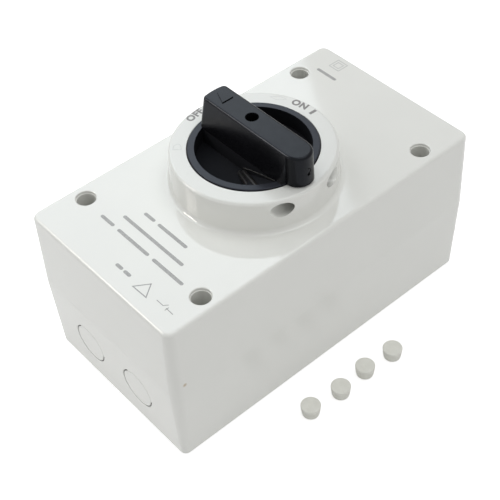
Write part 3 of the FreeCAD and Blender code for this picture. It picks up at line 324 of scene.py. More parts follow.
@dataclass(frozen=True)
class MouldedPlastic:
    """Injection-moulded plastic with faint colour drift, a fine grain and slow waves in its skin."""

    name: str
    colour: Colour
    roughness: Point = (0.25, 0.32)
    drift: float = 0.02
    drift_scale: float = 35.0
    patch_scale: float = 260.0
    patch_detail: float = 4.0
    grain_scale: float = 2600.0
    grain_strength: float = 0.35
    grain_depth: float = 0.00001
    wave_scale: float = 60.0
    wave_strength: float = 0.5
    wave_depth: float = 0.0
    specular: float = 0.5
    gloss_tint: Colour = (1.0, 1.0, 1.0)

    def build(self) -> Material:
        """Makes the material.

        Returns:
            The finished material.
        """
        sheet = NodeSheet(self.name)
        tones = (shade(self.colour, 1 - self.drift), shade(self.colour, 1 + self.drift))
        sheet.paint(self.coloured(sheet, sheet.clouds(self.drift_scale, 3.0, *tones)))
        patches = sheet.noise(self.patch_scale, self.patch_detail)
        sheet.roughen(self.polished(sheet, sheet.ramp(patches, *self.roughness)))
        sheet.set(Specular_IOR_Level=self.specular, Specular_Tint=(*self.gloss_tint, 1.0))
        layers = []
        if self.grain_depth:
            layers.append((sheet.noise(self.grain_scale, 3.0), self.grain_strength, self.grain_depth))
        if self.wave_depth:
            layers.append((sheet.noise(self.wave_scale, 1.0), self.wave_strength, self.wave_depth))
        sheet.bump(*layers)
        return sheet.material

    def coloured(self, sheet: NodeSheet, colour: Node) -> Node:
        """Colours the places that differ. Plain plastic has none."""
        return colour

    def polished(self, sheet: NodeSheet, rough: Node) -> Node:
        """Polishes or dulls the places that differ. Plain plastic has none."""
        return rough


@dataclass(frozen=True)
class ShellPlastic(MouldedPlastic):
    """Plastic of the case: a glossy face, a greyer collar top, painted shade inside the lock bores and a
    small spot of dirt.

    The pairs are the starts and ends of ramps, in metres.
    """

    face_rise: Point = (0.08485, 0.08497)
    face_roughness: float = 0.07
    crown_rise: Point = (0.1012, 0.1018)
    crown_roughness: float = 0.22
    crown_shade: float = 0.925
    bore_reach: Point = (0.0380, 0.0368)
    bore_bottom: Point = (0.0920, 0.0925)
    bore_top: Point = (0.1003, 0.1005)
    painted_bore_shade: float = 0.85
    speck_centre: Place = (0.0493, -0.0852, 0.0511)
    speck_edge: Point = (0.0014, 0.00042)
    speck_colour: Colour = (0.46, 0.34, 0.20)

    def coloured(self, sheet: NodeSheet, colour: Node) -> Node:
        """Lays the dirt, the painted shade inside the bores and the grey of the collar's top over the colour.

        Args:
            sheet: The node sheet.
            colour: The Mix node of the clean colour.

        Returns:
            The Mix node of the colour everywhere.
        """
        distance = sheet.add("ShaderNodeVectorMath", {1: self.speck_centre}, operation="DISTANCE")
        sheet.link(sheet.coordinates, "Object", distance, "Vector")
        colour = sheet.over(colour, self.speck_colour, sheet.span(distance, "Value", *self.speck_edge))
        # Painted shade: the walls of the lock bores are darkened in the colour, in place of the shade that
        # falls inside them.
        bores = sheet.band(sheet.reach(*self.bore_reach), self.bore_bottom, self.bore_top)
        colour = sheet.over(colour, shade(self.colour, self.painted_bore_shade), bores)
        return sheet.over(colour, shade(self.colour, self.crown_shade), sheet.rise(*self.crown_rise))

    def polished(self, sheet: NodeSheet, rough: Node) -> Node:
        """Makes the face and the collar above it glossier than the sides, and the collar's top less so.

        Args:
            sheet: The node sheet.
            rough: The Map Range node of the roughness of the sides.

        Returns:
            The Map Range node of the roughness everywhere.
        """
        face = sheet.rise(*self.face_rise, high=self.face_roughness)
        sheet.link(rough, "Result", face, "To Min")
        crown = sheet.rise(*self.crown_rise, high=self.crown_roughness)
        sheet.link(face, "Result", crown, "To Min")
        return crown


@dataclass(frozen=True)
class HandlePlastic(MouldedPlastic):
    """Plastic of the handle: a satin grip, a dull dish under it and a painted sheen that makes the flat rim
    paler.

    The pairs are the starts and ends of ramps, in metres.
    """

    dish_rise: Point = (0.1020, 0.1023)
    dish_roughness: float = 0.85
    rim_inside: Point = (0.0263, 0.0266)
    rim_outside: Point = (0.0302, 0.0299)
    rim_bottom: Point = (0.1021, 0.1024)
    rim_top: Point = (0.1027, 0.1029)
    rim_sheen_colour: Colour = (0.022, 0.023, 0.029)

    def coloured(self, sheet: NodeSheet, colour: Node) -> Node:
        """Paints a bluish sheen on the flat rim, a little paler than the grip.

        Args:
            sheet: The node sheet.
            colour: The Mix node of the grip's colour.

        Returns:
            The Mix node of the colour everywhere.
        """
        # Painted sheen: the rim's colour is lifted to a pale blue-grey, in place of the reflection of the
        # bright surroundings.
        ring = sheet.reach(*self.rim_outside)
        sheet.link(sheet.reach(*self.rim_inside), "Result", ring, "To Max")
        return sheet.over(colour, self.rim_sheen_colour, sheet.band(ring, self.rim_bottom, self.rim_top))

    def polished(self, sheet: NodeSheet, rough: Node) -> Node:
        """Leaves the dish duller than the grip.

        Args:
            sheet: The node sheet.
            rough: The Map Range node of the roughness of the grip.

        Returns:
            The Map Range node of the roughness everywhere.
        """
        dish = sheet.rise(*self.dish_rise, low=self.dish_roughness)
        sheet.link(rough, "Result", dish, "To Max")
        return dish


@dataclass(frozen=True)
class Metal:
    """Plated, rolled or turned metal with fine drawn lines and a cloudy tarnish."""

    name: str
    colour: Colour
    tarnish: Colour
    roughness: Point = (0.25, 0.42)
    cloud_scale: float = 180.0
    line_stretch: Place = (1.0, 1.0, 14.0)
    line_scale: float = 700.0
    line_strength: float = 0.4
    line_depth: float = 0.000012

    def build(self) -> Material:
        """Makes the material.

        Returns:
            The finished material.
        """
        sheet = NodeSheet(self.name)
        sheet.paint(sheet.clouds(self.cloud_scale, 5.0, self.colour, self.tarnish))
        lines = sheet.noise(self.line_scale, 3.0, self.line_stretch)
        sheet.roughen(sheet.ramp(lines, *self.roughness))
        sheet.set(Metallic=1.0)
        sheet.bump((lines, self.line_strength, self.line_depth))
        return sheet.material


@dataclass(frozen=True)
class Rubber:
    """Soft cap or seal rubber: dull, with a dusty bloom and a fine pore."""

    name: str
    colour: Colour
    bloom: Colour
    roughness: Point = (0.6, 0.75)
    cloud_scale: float = 300.0
    pore_scale: float = 1800.0
    pore_strength: float = 0.4
    pore_depth: float = 0.00003
    sheen: float = 0.0

    def build(self) -> Material:
        """Makes the material.

        Returns:
            The finished material.
        """
        sheet = NodeSheet(self.name)
        sheet.paint(sheet.clouds(self.cloud_scale, 4.0, self.colour, self.bloom))
        pores = sheet.noise(self.pore_scale, 2.0)
        sheet.roughen(sheet.ramp(pores, *self.roughness))
        sheet.set(Sheen_Weight=self.sheen)
        sheet.bump((pores, self.pore_strength, self.pore_depth))
        return sheet.material


@dataclass(frozen=True)
class PrintInkAndShade:
    """Pad-printed ink, slightly uneven where it lies thin. The same finish also gives the dark painted shade
    in the tail's groove and the knock-outs' nicks.
    """

    name: str
    colour: Colour
    thin: Colour
    patch_scale: float = 1500.0
    roughness: float = 0.45
    specular: float = 0.5

    def build(self) -> Material:
        """Makes the material.

        Returns:
            The finished material.
        """
        sheet = NodeSheet(self.name)
        sheet.paint(sheet.clouds(self.patch_scale, 3.0, self.colour, self.thin))
        sheet.set(Roughness=self.roughness, Specular_IOR_Level=self.specular)
        return sheet.material


FINISHES = {
    Slot.WHITE_SHELL: ShellPlastic(
        "White gloss shell", (0.80, 0.80, 0.765), roughness=(0.265, 0.265), drift=0.006,
        patch_scale=40.0, patch_detail=0.0, grain_depth=0.0, wave_depth=0.00002),
    Slot.BLACK_HANDLE: HandlePlastic(
        "Black satin handle", (0.0050, 0.0050, 0.0060), roughness=(0.20, 0.25), drift=0.12,
        grain_scale=4200.0, specular=0.15, gloss_tint=(0.80, 0.87, 1.0)),
    Slot.PALE_CAP: Rubber("Pale soft cap", (0.765, 0.76, 0.70), (0.805, 0.80, 0.74), sheen=0.1),
    Slot.GREY_SEAL: Rubber("Grey foam seal", (0.24, 0.24, 0.24), (0.30, 0.30, 0.29), pore_depth=0.0001),
    Slot.BLACK_SEAL: Rubber("Black ring seal", (0.02, 0.02, 0.02), (0.04, 0.04, 0.04), roughness=(0.4, 0.5)),
    Slot.ZINC_STEEL: Metal("Zinc-plated steel", (0.62, 0.63, 0.65), (0.50, 0.51, 0.50)),
    Slot.SPRING_STEEL: Metal(
        "Oiled spring steel", (0.32, 0.32, 0.33), (0.22, 0.21, 0.20), roughness=(0.3, 0.4)),
    Slot.RAIL_STEEL: Metal(
        "Galvanised rail", (0.58, 0.60, 0.60), (0.44, 0.46, 0.46), line_stretch=(0.1, 1.0, 1.0)),
    Slot.BRASS: Metal("Turned brass", (0.74, 0.56, 0.25), (0.60, 0.42, 0.17)),
    Slot.COPPER: Metal(
        "Stamped copper", (0.78, 0.45, 0.30), (0.62, 0.32, 0.20), line_stretch=(1.0, 0.1, 1.0)),
    Slot.DARK_MOULDING: MouldedPlastic(
        "Dark glass-filled moulding", (0.05, 0.05, 0.054), roughness=(0.45, 0.6), drift=0.2,
        grain_depth=0.00004),
    Slot.PALE_MOULDING: MouldedPlastic(
        "Pale grey moulding", (0.50, 0.51, 0.51), roughness=(0.42, 0.55), drift=0.04,
        grain_depth=0.00003),
    Trim.PRINT: PrintInkAndShade("Grey print", (0.30, 0.295, 0.285), (0.37, 0.365, 0.355)),
    Trim.DIAL_PRINT: PrintInkAndShade("Dark dial print", (0.17, 0.16, 0.155), (0.23, 0.22, 0.21)),
    Trim.CREST: MouldedPlastic(
        "Polished black crest", (0.012, 0.011, 0.010), roughness=(0.16, 0.20), drift=0.05,
        grain_depth=0.0, gloss_tint=(1.0, 0.94, 0.88)),
    Trim.RIDGE: MouldedPlastic(
        "Soft black ridge", (0.010, 0.009, 0.009), roughness=(0.28, 0.32), drift=0.05, grain_depth=0.0),
    # Painted shade: a near-black, barely shiny finish for the shade in the groove of the tail's ring.
    Trim.GROOVE_SHADE: PrintInkAndShade("Painted groove shade", (0.003, 0.003, 0.003), (0.005, 0.005, 0.005), specular=0.08),
    Trim.PALE_PRINT: PrintInkAndShade("Pale print", (0.44, 0.44, 0.43), (0.50, 0.50, 0.49)),
    Trim.FAINT_LINE: PrintInkAndShade("Faint moulded line", (0.56, 0.565, 0.545), (0.60, 0.605, 0.585)),
    # Painted shade: a dark grey for the shade in the deeper nicks of the knock-outs' grooves.
    Trim.NICK_SHADE: PrintInkAndShade("Painted nick shade", (0.15, 0.15, 0.14), (0.20, 0.20, 0.185), specular=0.2),
}

Materials = dict[Slot | Trim, Material]


# Mesh helpers


def shown(mesh: bpy.types.Mesh, name: str, material: Material, body: Body, smooth: bool = False) -> Object:
    """Puts a mesh into the scene as a named piece.

    Args:
        mesh: The finished mesh, in place.
        name: The piece's name.
        material: Its one material.
        body: The body that it rides on.
        smooth: Whether its faces are shaded smooth.

    Returns:
        The new object, at the origin.
    """
    mesh.name = name
    mesh.materials.clear()
    mesh.materials.append(material)
    if smooth:
        mesh.shade_smooth()
    piece = bpy.data.objects.new(name, mesh)
    bpy.context.scene.collection.objects.link(piece)
    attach(piece, body.value)
    return piece


def plain_mesh(holder: Object) -> bpy.types.Mesh:
    """Turns an object with its bevels or modifiers into a plain mesh.

    Args:
        holder: The object, linked to nothing. It is removed.

    Returns:
        The mesh, in the object's coordinates.
    """
    bpy.context.scene.collection.objects.link(holder)
    bpy.context.view_layer.update()
    evaluated = holder.evaluated_get(bpy.context.evaluated_depsgraph_get())
    mesh = bpy.data.meshes.new_from_object(evaluated)
    bpy.data.objects.remove(holder)
    return mesh


def bead(name: str, runs: Sequence[Sequence[Place]], radius: float, material: Material, body: Body,
         taper: float = 1.0) -> Object:
    """Makes round beads along one or more runs of points, as one piece.

    Args:
        name: The piece's name.
        runs: The points of each run, in millimetres.
        radius: Radius of the bead at its start.
        material: Its material.
        body: The body that it rides on.
        taper: Its radius at the end as a share of the one at the start.

    Returns:
        The finished piece.
    """
    curve = bpy.data.curves.new(name, "CURVE")
    curve.dimensions = "3D"
    curve.bevel_depth = radius
    curve.bevel_resolution = 4
    curve.use_fill_caps = True
    for places in runs:
        spline = curve.splines.new("POLY")
        spline.points.add(len(places) - 1)
        for index, (point, place) in enumerate(zip(spline.points, places)):
            point.co = (*place, 1.0)
            point.radius = 1.0 + (taper - 1.0) * index / (len(places) - 1)
    mesh = plain_mesh(bpy.data.objects.new(name, curve))
    mesh.transform(Matrix.Scale(MM, 4))
    return shown(mesh, name, material, body, smooth=True)


def strip(points: Sequence[Point], half: float, closed: bool) -> list[list[Point]]:
    """Quads of a flat line of constant width along a run of points.

    Args:
        points: Middle line of the strip, in millimetres.
        half: Half its width.
        closed: Whether the last point joins the first.

    Returns:
        One four-sided outline for each stretch of the line.
    """
    sharpest = 0.4
    count = len(points)
    sides = []
    for index, point in enumerate(points):
        before = points[index - 1] if closed or index else point
        after = points[(index + 1) % count] if closed or index + 1 < count else point
        middle = Vector(point)
        first = (middle - Vector(before)).normalized()
        second = (Vector(after) - middle).normalized()
        along = (first + second).normalized()
        across = Vector((-along.y, along.x))
        width = half / max(along.dot(second if second.length else first), sharpest)
        sides.append((tuple(middle + across * width), tuple(middle - across * width)))
    quads = []
    for index in range(count if closed else count - 1):
        left, right = sides[index]
        next_left, next_right = sides[(index + 1) % count]
        quads.append([left, right, next_right, next_left])
    return quads


def arc(centre: Point, radius: float, steps: int, start: float = 0.0, sweep: float = 360.0) -> list[Point]:
    """Points along a circle or an arc.

    Args:
        centre: Middle of the circle, in millimetres.
        radius: Its radius.
        steps: How many points.
        start: Angle of the first point, in degrees.
        sweep: Angle from the first point to the end.

    Returns:
        The points, without a repeated last one on a full circle.
    """
    last = steps if sweep >= 360.0 else steps - 1
    turns = [math.radians(start + sweep * step / last) for step in range(steps)]
    return [(centre[0] + radius * math.cos(turn), centre[1] + radius * math.sin(turn)) for turn in turns]


def rounded_bar(x: float, y: float, length: float, height: float) -> list[Point]:
    """Outline of a flat bar with round ends.

    Args:
        x: Left end, in millimetres.
        y: Middle line.
        length: Length of the bar over its round ends.
        height: Height of the bar.

    Returns:
        The outline's points, anticlockwise.
    """
    radius = height / 2
    right = arc((x + length - radius, y), radius, 7, -90.0, 180.0)
    left = arc((x + radius, y), radius, 7, 90.0, 180.0)
    return right + left


@dataclass
class FlatMark:
    """Thin printed or moulded mark on a flat surface of the case that faces up, in millimetres."""

    name: str
    top: float
    outlines: list[list[Point]]
    proud: float = 0.03
    sunk: float = 0.05

    def build(self, material: Material) -> Object:
        """Makes the mark a closed thin solid.

        Args:
            material: The mark's material.

        Returns:
            The finished piece.
        """
        work = bmesh.new()
        for outline in self.outlines:
            area = sum(a[0] * b[1] - b[0] * a[1] for a, b in zip(outline, outline[1:] + outline[:1]))
            ring = outline if area > 0 else outline[::-1]
            upper, lower = (
                [work.verts.new((x * MM, y * MM, level * MM)) for x, y in ring]
                for level in (self.top + self.proud, self.top - self.sunk))
            work.faces.new(upper)
            work.faces.new(lower[::-1])
            for wall in zip(upper, lower, lower[1:] + lower[:1], upper[1:] + upper[:1]):
                work.faces.new(wall)
        mesh = bpy.data.meshes.new(self.name)
        work.to_mesh(mesh)
        work.free()
        return shown(mesh, self.name, material, Body.CASE)


@dataclass
class Lettering:
    """Plain lettering on the dial, set round the middle with its feet towards it, in millimetres."""

    name: str
    text: str
    radius: float
    angle: float
    height: float = 3.6
    capital_share: float = 0.7
    weight: float = 0.24
    spread: float = 1.1
    top: float = 102.0
    proud: float = 0.03
    sunk: float = 0.05

    def build(self, material: Material) -> Object:
        """Makes the lettering a thin mesh in place.

        Args:
            material: The ink.

        Returns:
            The finished piece.
        """
        curve = bpy.data.curves.new(self.name, "FONT")
        curve.body = self.text
        curve.align_x = "CENTER"
        curve.align_y = "CENTER"
        curve.size = self.height / self.capital_share
        curve.offset = self.weight
        curve.space_character = self.spread
        curve.extrude = (self.proud + self.sunk) / 2
        curve.resolution_u = 6
        mesh = plain_mesh(bpy.data.objects.new(self.name, curve))
        turn = Matrix.Rotation(math.radians(self.angle - 90.0), 4, "Z")
        lift = Matrix.Translation((0.0, self.radius, self.top + (self.proud - self.sunk) / 2))
        mesh.transform(Matrix.Scale(MM, 4) @ turn @ lift)
        return shown(mesh, self.name, material, Body.CASE)


# Sub-assemblies


@dataclass
class CoverPrint:
    """Grey print on the front of the cover: plain bars and simple shapes, in millimetres."""

    face: float = 85.0
    bar_height: float = 1.7
    bar_rows: tuple[tuple[str, float, tuple[Point, ...]], ...] = (
        ("cover_print_bars_1", -52.4, ((-14.6, 7.4), (-4.8, 20.0))),
        ("cover_print_bars_2", -60.2, ((-19.6, 41.8),)),
        ("cover_print_bars_3", -67.2, ((-26.9, 9.4), (-14.6, 22.0), (10.2, 20.6))),
        ("cover_print_pair", -80.2, ((1.6, 4.6), (7.2, 4.6))),
        ("cover_print_corner", 74.2, ((-37.0, 13.2),)),
    )
    triangle: tuple[Point, ...] = ((16.9, -82.9), (25.7, -82.7), (21.2, -76.5))
    triangle_half: float = 0.26
    switch_lines: tuple[tuple[Point, ...], ...] = (
        ((29.9, -80.3), (34.1, -80.3), (35.5, -78.4)),
        ((36.1, -80.3), (40.7, -80.4)),
        ((36.6, -81.4), (36.6, -79.3)),
    )
    line_half: float = 0.176
    square_place: Point = (-31.4, 83.4)
    square_halves: tuple[float, ...] = (3.2, 1.8)

    def build(self, materials: Materials) -> list[Object]:
        """Makes all the print on the cover.

        Args:
            materials: The finished materials.

        Returns:
            The pieces.
        """
        marks = []
        for name, row, bars in self.bar_rows:
            outlines = [rounded_bar(x, row, length, self.bar_height) for x, length in bars]
            marks.append(FlatMark(name, self.face, outlines))
        triangle = strip(self.triangle, self.triangle_half, True)
        marks.append(FlatMark("cover_print_triangle", self.face, triangle))
        blades = [quad for line in self.switch_lines for quad in strip(line, self.line_half, False)]
        marks.append(FlatMark("cover_print_switch", self.face, blades))
        pieces = [mark.build(materials[Trim.PRINT]) for mark in marks]
        squares = FlatMark("cover_print_squares", self.face, self.squares())
        return pieces + [squares.build(materials[Trim.PALE_PRINT])]

    def squares(self) -> list[list[Point]]:
        """Outlines of two squares, one in the other, at the far corner."""
        x, y = self.square_place
        quads = []
        for half in self.square_halves:
            corners = [(x - half, y - half), (x + half, y - half), (x + half, y + half), (x - half, y + half)]
            quads += strip(corners, self.line_half, True)
        return quads


@dataclass
class DialMarks:
    """Lettering and lock signs on the flat top of the collar, in millimetres and degrees."""

    face: float = 102.0
    radius: float = 35.0
    words: tuple[tuple[str, str, float], ...] = (
        ("dial_on", "ON", 101.0),
        ("dial_off", "OFF", 188.8),
        ("dial_zero", "O", 172.5),
    )
    one_angle: float = 87.7
    one_halves: Point = (0.75, 1.95)
    signs: tuple[tuple[str, float, tuple[Point, ...]], ...] = (
        ("dial_lock_sign_off", 0.16, (
            (-22.9, -27.8), (-20.3, -25.1), (-22.1, -23.8), (-23.6, -23.4), (-24.6, -24.2), (-24.6, -26.0))),
        ("dial_lock_sign_on", 0.128, (
            (-20.6, 28.4), (-19.2, 30.2), (-17.0, 32.0), (-13.9, 32.6), (-15.0, 30.8), (-17.0, 29.0))),
    )
    sign_proud: float = 0.02

    def build(self, materials: Materials) -> list[Object]:
        """Makes the dial's marks.

        Args:
            materials: The finished materials.

        Returns:
            The pieces.
        """
        ink = materials[Trim.DIAL_PRINT]
        pieces = [Lettering(name, text, self.radius, angle).build(ink) for name, text, angle in self.words]
        pieces.append(FlatMark("dial_one", self.face, [self.one_bar()]).build(ink))
        for name, half, outline in self.signs:
            mark = FlatMark(name, self.face, strip(outline, half, True), self.sign_proud)
            pieces.append(mark.build(materials[Trim.FAINT_LINE]))
        return pieces

    def one_bar(self) -> list[Point]:
        """Outline of the bar of the ON position, a bold I with its foot towards the middle."""
        turn = math.radians(self.one_angle)
        outward = Vector((math.cos(turn), math.sin(turn)))
        across = Vector((outward.y, -outward.x))
        half, rise = self.one_halves
        corners = ((-half, -rise), (half, -rise), (half, rise), (-half, rise))
        return [tuple(outward * (self.radius + y) + across * x) for x, y in corners]


@dataclass
class GripLines:
    """Moulded lines of the handle, in millimetres: a crest, two soft ridges and a near-black bead of painted
    shade in the groove of the tail's ring.
    """

    crest: tuple[Place, ...] = (
        (3.4, -9.1, 96.3), (9.0, -9.1, 98.4), (16.5, -9.1, 100.6), (24.4, -9.1, 102.5))
    crest_radius: float = 0.32
    crest_taper: float = 0.4
    ridges: tuple[tuple[Place, ...], ...] = (
        ((4.4, -9.9, 95.0), (20.6, -16.2, 100.9)),
        ((2.6, -10.9, 94.0), (18.4, -18.4, 100.2)),
    )
    ridge_radius: float = 1.2
    tail_x: float = 29.45
    tail_radius: float = 6.76
    ring_height: float = 110.3
    ring_radius: float = 1.15
    ring_wire: float = 0.16

    def build(self, materials: Materials) -> list[Object]:
        """Makes the lines.

        Args:
            materials: The finished materials.

        Returns:
            The pieces.
        """
        body = Body.TURNING
        crest, ridge, groove = materials[Trim.CREST], materials[Trim.RIDGE], materials[Trim.GROOVE_SHADE]
        pieces = [bead("grip_crest", [self.crest], self.crest_radius, crest, body, self.crest_taper)]
        for number, places in enumerate(self.ridges, 1):
            pieces.append(bead(f"grip_ridge_{number}", [places], self.ridge_radius, ridge, body))
        # The ring is painted shade: a dark bead where the shade of a moulded groove would fall.
        pieces.append(bead("tail_ring_shade", [self.ring_places()], self.ring_wire, groove, body))
        return pieces

    def ring_places(self) -> list[Place]:
        """Points of the open ring on the round end of the tail."""
        places = []
        for across, rise in arc((0.0, 0.0), self.ring_radius, 13, -95.0, 200.0):
            turn = across / self.tail_radius
            x = self.tail_x + self.tail_radius * math.cos(turn)
            places.append((x, self.tail_radius * math.sin(turn), self.ring_height + rise))
        return places


@dataclass
class CaseLines:
    """Ledges in the screw wells, and webs and painted shade at the nicks in the knock-outs' grooves, in
    millimetres.
    """

    well_places: tuple[Point, ...] = ((40.8, 65.7), (-40.8, 65.7), (-40.8, -65.7), (40.8, -65.7))
    well_radius: float = 4.7
    ledge_height: float = 83.3
    ledge_wire: float = 0.34
    knockout_x: float = 18.0
    knockout_height: float = 22.9
    knockout_middle: float = 9.95
    wall_y: float = 90.15
    wall_slope: float = 0.0414
    web_arc: Point = (-6.0, 128.0)
    web_wire: float = 1.15
    web_depth: float = 1.15
    nick_arcs: tuple[Point, ...] = ((134.0, 96.0), (346.0, -52.0))
    nick_wire: float = 0.42
    nick_taper: float = 0.35
    nick_depth: float = 0.34
    steps: int = 25

    def build(self, materials: Materials) -> list[Object]:
        """Makes the lines.

        Args:
            materials: The finished materials.

        Returns:
            The pieces.
        """
        shell, body = materials[Slot.WHITE_SHELL], Body.CASE
        rings = [arc(middle, self.well_radius, 4 * self.steps) for middle in self.well_places]
        ledges = [[(x, y, self.ledge_height) for x, y in ring + ring[:1]] for ring in rings]
        webs = []
        nicks = []
        for end in (-1.0, 1.0):
            for side in (-self.knockout_x, self.knockout_x):
                webs.append(self.wall_arc(side, end, self.web_arc, self.web_depth))
                nicks += [self.wall_arc(side, end, nick, self.nick_depth) for nick in self.nick_arcs]
        return [
            bead("well_ledges", ledges, self.ledge_wire, shell, body),
            bead("knockout_webs", webs, self.web_wire, shell, body),
            # The nicks are painted shade: dark tapering beads where the grooves are deepest and lie in shade.
            bead("knockout_nick_shade", nicks, self.nick_wire, materials[Trim.NICK_SHADE], body, self.nick_taper),
        ]

    def wall_arc(self, side: float, end: float, turns: Point, depth: float) -> list[Place]:
        """Arc in a knock-out's groove.

        Args:
            side: Place of the knock-out across the case, in millimetres.
            end: -1 for the near end wall, 1 for the far one.
            turns: Start and sweep, in degrees, as seen from outside.
            depth: How deep its middle line lies in the wall.

        Returns:
            The arc's points.
        """
        places = []
        for across, rise in arc((0.0, 0.0), self.knockout_middle, self.steps, *turns):
            wall = self.wall_y + self.wall_slope * rise - depth
            places.append((side - end * across, end * wall, self.knockout_height + rise))
        return places


@dataclass
class CapRibs:
    """Fine upright ribs round the lower side of each loose screw cap, in millimetres."""

    places: tuple[Point, ...] = ((69.2, -31.0), (70.8, -13.2), (69.9, 3.7), (71.3, 20.8))
    count: int = 28
    foot_radius: float = 3.99
    top_radius: float = 4.87
    cap_height: float = 6.4
    low: float = 0.7
    high: float = 4.3
    rib_radius: float = 0.11
    rib_sides: int = 8

    def build(self, materials: Materials) -> list[Object]:
        """Makes the ribs of all caps with one Geometry Nodes tree.

        Args:
            materials: The finished materials.

        Returns:
            The one piece.
        """
        material = materials[Slot.PALE_CAP]
        middle = (self.low + self.high) / 2
        slope = (self.top_radius - self.foot_radius) / self.cap_height
        values = {
            "Ribs": self.count,
            "Ring Radius": (self.foot_radius + slope * middle) * MM,
            "Rib Radius": self.rib_radius * MM,
            "Rib Length": (self.high - self.low) * MM,
            "Middle Height": middle * MM,
            "Lean": math.atan(slope),
        }
        points = bpy.data.meshes.new("cap_rib_points")
        points.from_pydata([(x * MM, y * MM, 0.0) for x, y in self.places], [], [])
        holder = bpy.data.objects.new("cap_rib_points", points)
        modifier = holder.modifiers.new("Ribs", "NODES")
        modifier.node_group, sockets = self.tree(list(values), material)
        for name, value in values.items():
            modifier[sockets[name]] = value
        piece = shown(plain_mesh(holder), "screw_cap_ribs", material, Body.CASE, smooth=True)
        return [piece]

    def tree(self, names: list[str], material: Material) -> tuple[bpy.types.NodeTree, dict[str, str]]:
        """Builds the tree that sets leaning ribs on a ring and a ring on each input point.

        Args:
            names: Its inputs, the first one a count and the others lengths or angles.
            material: Material of the ribs.

        Returns:
            The tree, and the identifier of each of its inputs by name.
        """
        tree = bpy.data.node_groups.new("Cap ribs", "GeometryNodeTree")
        tree.interface.new_socket("Geometry", in_out="INPUT", socket_type="NodeSocketGeometry")
        sockets = {}
        for name in names:
            kind = "NodeSocketInt" if name == names[0] else "NodeSocketFloat"
            sockets[name] = tree.interface.new_socket(name, in_out="INPUT", socket_type=kind).identifier
        tree.interface.new_socket("Geometry", in_out="OUTPUT", socket_type="NodeSocketGeometry")
        nodes = Nodes(tree)
        inputs = nodes.add("NodeGroupInput")
        ring = nodes.add("GeometryNodeMeshCircle")
        rib = nodes.add("GeometryNodeMeshCylinder", {"Vertices": self.rib_sides})
        lean = nodes.add("ShaderNodeCombineXYZ")
        tilt = nodes.add("GeometryNodeTransform")
        place = nodes.add("GeometryNodeInputPosition")
        facing = nodes.add("FunctionNodeAlignRotationToVector", axis="X", pivot_axis="Z")
        on_ring = nodes.add("GeometryNodeInstanceOnPoints")
        height = nodes.add("ShaderNodeCombineXYZ")
        lift = nodes.add("GeometryNodeTransform")
        on_caps = nodes.add("GeometryNodeInstanceOnPoints")
        real = nodes.add("GeometryNodeRealizeInstances")
        finish = nodes.add("GeometryNodeSetMaterial", {"Material": material})
        output = nodes.add("NodeGroupOutput")
        for link in (
            (inputs, "Ribs", ring, "Vertices"),
            (inputs, "Ring Radius", ring, "Radius"),
            (inputs, "Rib Radius", rib, "Radius"),
            (inputs, "Rib Length", rib, "Depth"),
            (inputs, "Lean", lean, "Y"),
            (rib, "Mesh", tilt, "Geometry"),
            (lean, "Vector", tilt, "Rotation"),
            (place, "Position", facing, "Vector"),
            (ring, "Mesh", on_ring, "Points"),
            (tilt, "Geometry", on_ring, "Instance"),
            (facing, "Rotation", on_ring, "Rotation"),
            (inputs, "Middle Height", height, "Z"),
            (on_ring, "Instances", lift, "Geometry"),
            (height, "Vector", lift, "Translation"),
            (inputs, "Geometry", on_caps, "Points"),
            (lift, "Geometry", on_caps, "Instance"),
            (on_caps, "Instances", real, "Geometry"),
            (real, "Geometry", finish, "Geometry"),
            (finish, "Geometry", output, "Geometry"),
        ):
            nodes.link(*link)
        return tree, sockets


@dataclass
class Assembly:
    """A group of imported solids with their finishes."""

    title: str
    solids: dict[str, Slot]

    def dress(self, frame: dict, materials: Materials) -> None:
        """Gives every solid of the group its finish.

        Args:
            materials: The finished materials.
        """
        for name, slot in self.solids.items():
            solid = frame["nodes"][name]
            if not solid.material_slots:
                solid.data.materials.append(materials[slot])
            for material_slot in solid.material_slots:
                material_slot.material = materials[slot]
            LOG.info("%s: %s in %s", self.title, name, slot.value)


def case_and_rail() -> Assembly:
    """The case with its fastenings, seals, rail and earth terminal."""
    return Assembly("case", {
        "enclosure_base": Slot.WHITE_SHELL, "enclosure_cover": Slot.WHITE_SHELL,
        "cover_collar": Slot.WHITE_SHELL, "collar_lock_side": Slot.WHITE_SHELL,
        "cover_gasket": Slot.GREY_SEAL, "threaded_inserts": Slot.BRASS, "cover_screws": Slot.ZINC_STEEL,
        "screw_caps": Slot.PALE_CAP, "din_rail": Slot.RAIL_STEEL, "rail_screws": Slot.ZINC_STEEL,
        "earth_terminal": Slot.BRASS, "earth_screws": Slot.ZINC_STEEL,
    })


def turning_handle() -> Assembly:
    """The handle with its screw, seal and ring."""
    return Assembly("handle", {
        "handle": Slot.BLACK_HANDLE, "handle_tail": Slot.BLACK_HANDLE, "handle_screw": Slot.ZINC_STEEL,
        "hub_seal": Slot.BLACK_SEAL, "hub_retaining_ring": Slot.SPRING_STEEL,
    })


def switch_block() -> Assembly:
    """The switch block inside the case, with its decks, contacts and terminals."""
    solids = {
        "contact_shaft": Slot.ZINC_STEEL, "mechanism_housing": Slot.DARK_MOULDING,
        "mechanism_cover": Slot.DARK_MOULDING, "deck_bolts": Slot.ZINC_STEEL, "deck_nuts": Slot.ZINC_STEEL,
        "terminal_clamps": Slot.ZINC_STEEL, "terminal_screws": Slot.ZINC_STEEL,
        "switch_foot": Slot.DARK_MOULDING, "rail_latch": Slot.PALE_MOULDING,
        "drive_spindle": Slot.ZINC_STEEL, "input_carrier": Slot.DARK_MOULDING,
        "snap_spring": Slot.SPRING_STEEL, "output_cam": Slot.DARK_MOULDING,
    }
    for level in range(1, 5):
        solids[f"contact_deck_{level}"] = Slot.PALE_MOULDING
        solids[f"fixed_contacts_{level}"] = Slot.COPPER
        solids[f"rotor_{level}"] = Slot.DARK_MOULDING
        solids[f"moving_contact_{level}"] = Slot.COPPER
    return Assembly("switch block", solids)


# Studio


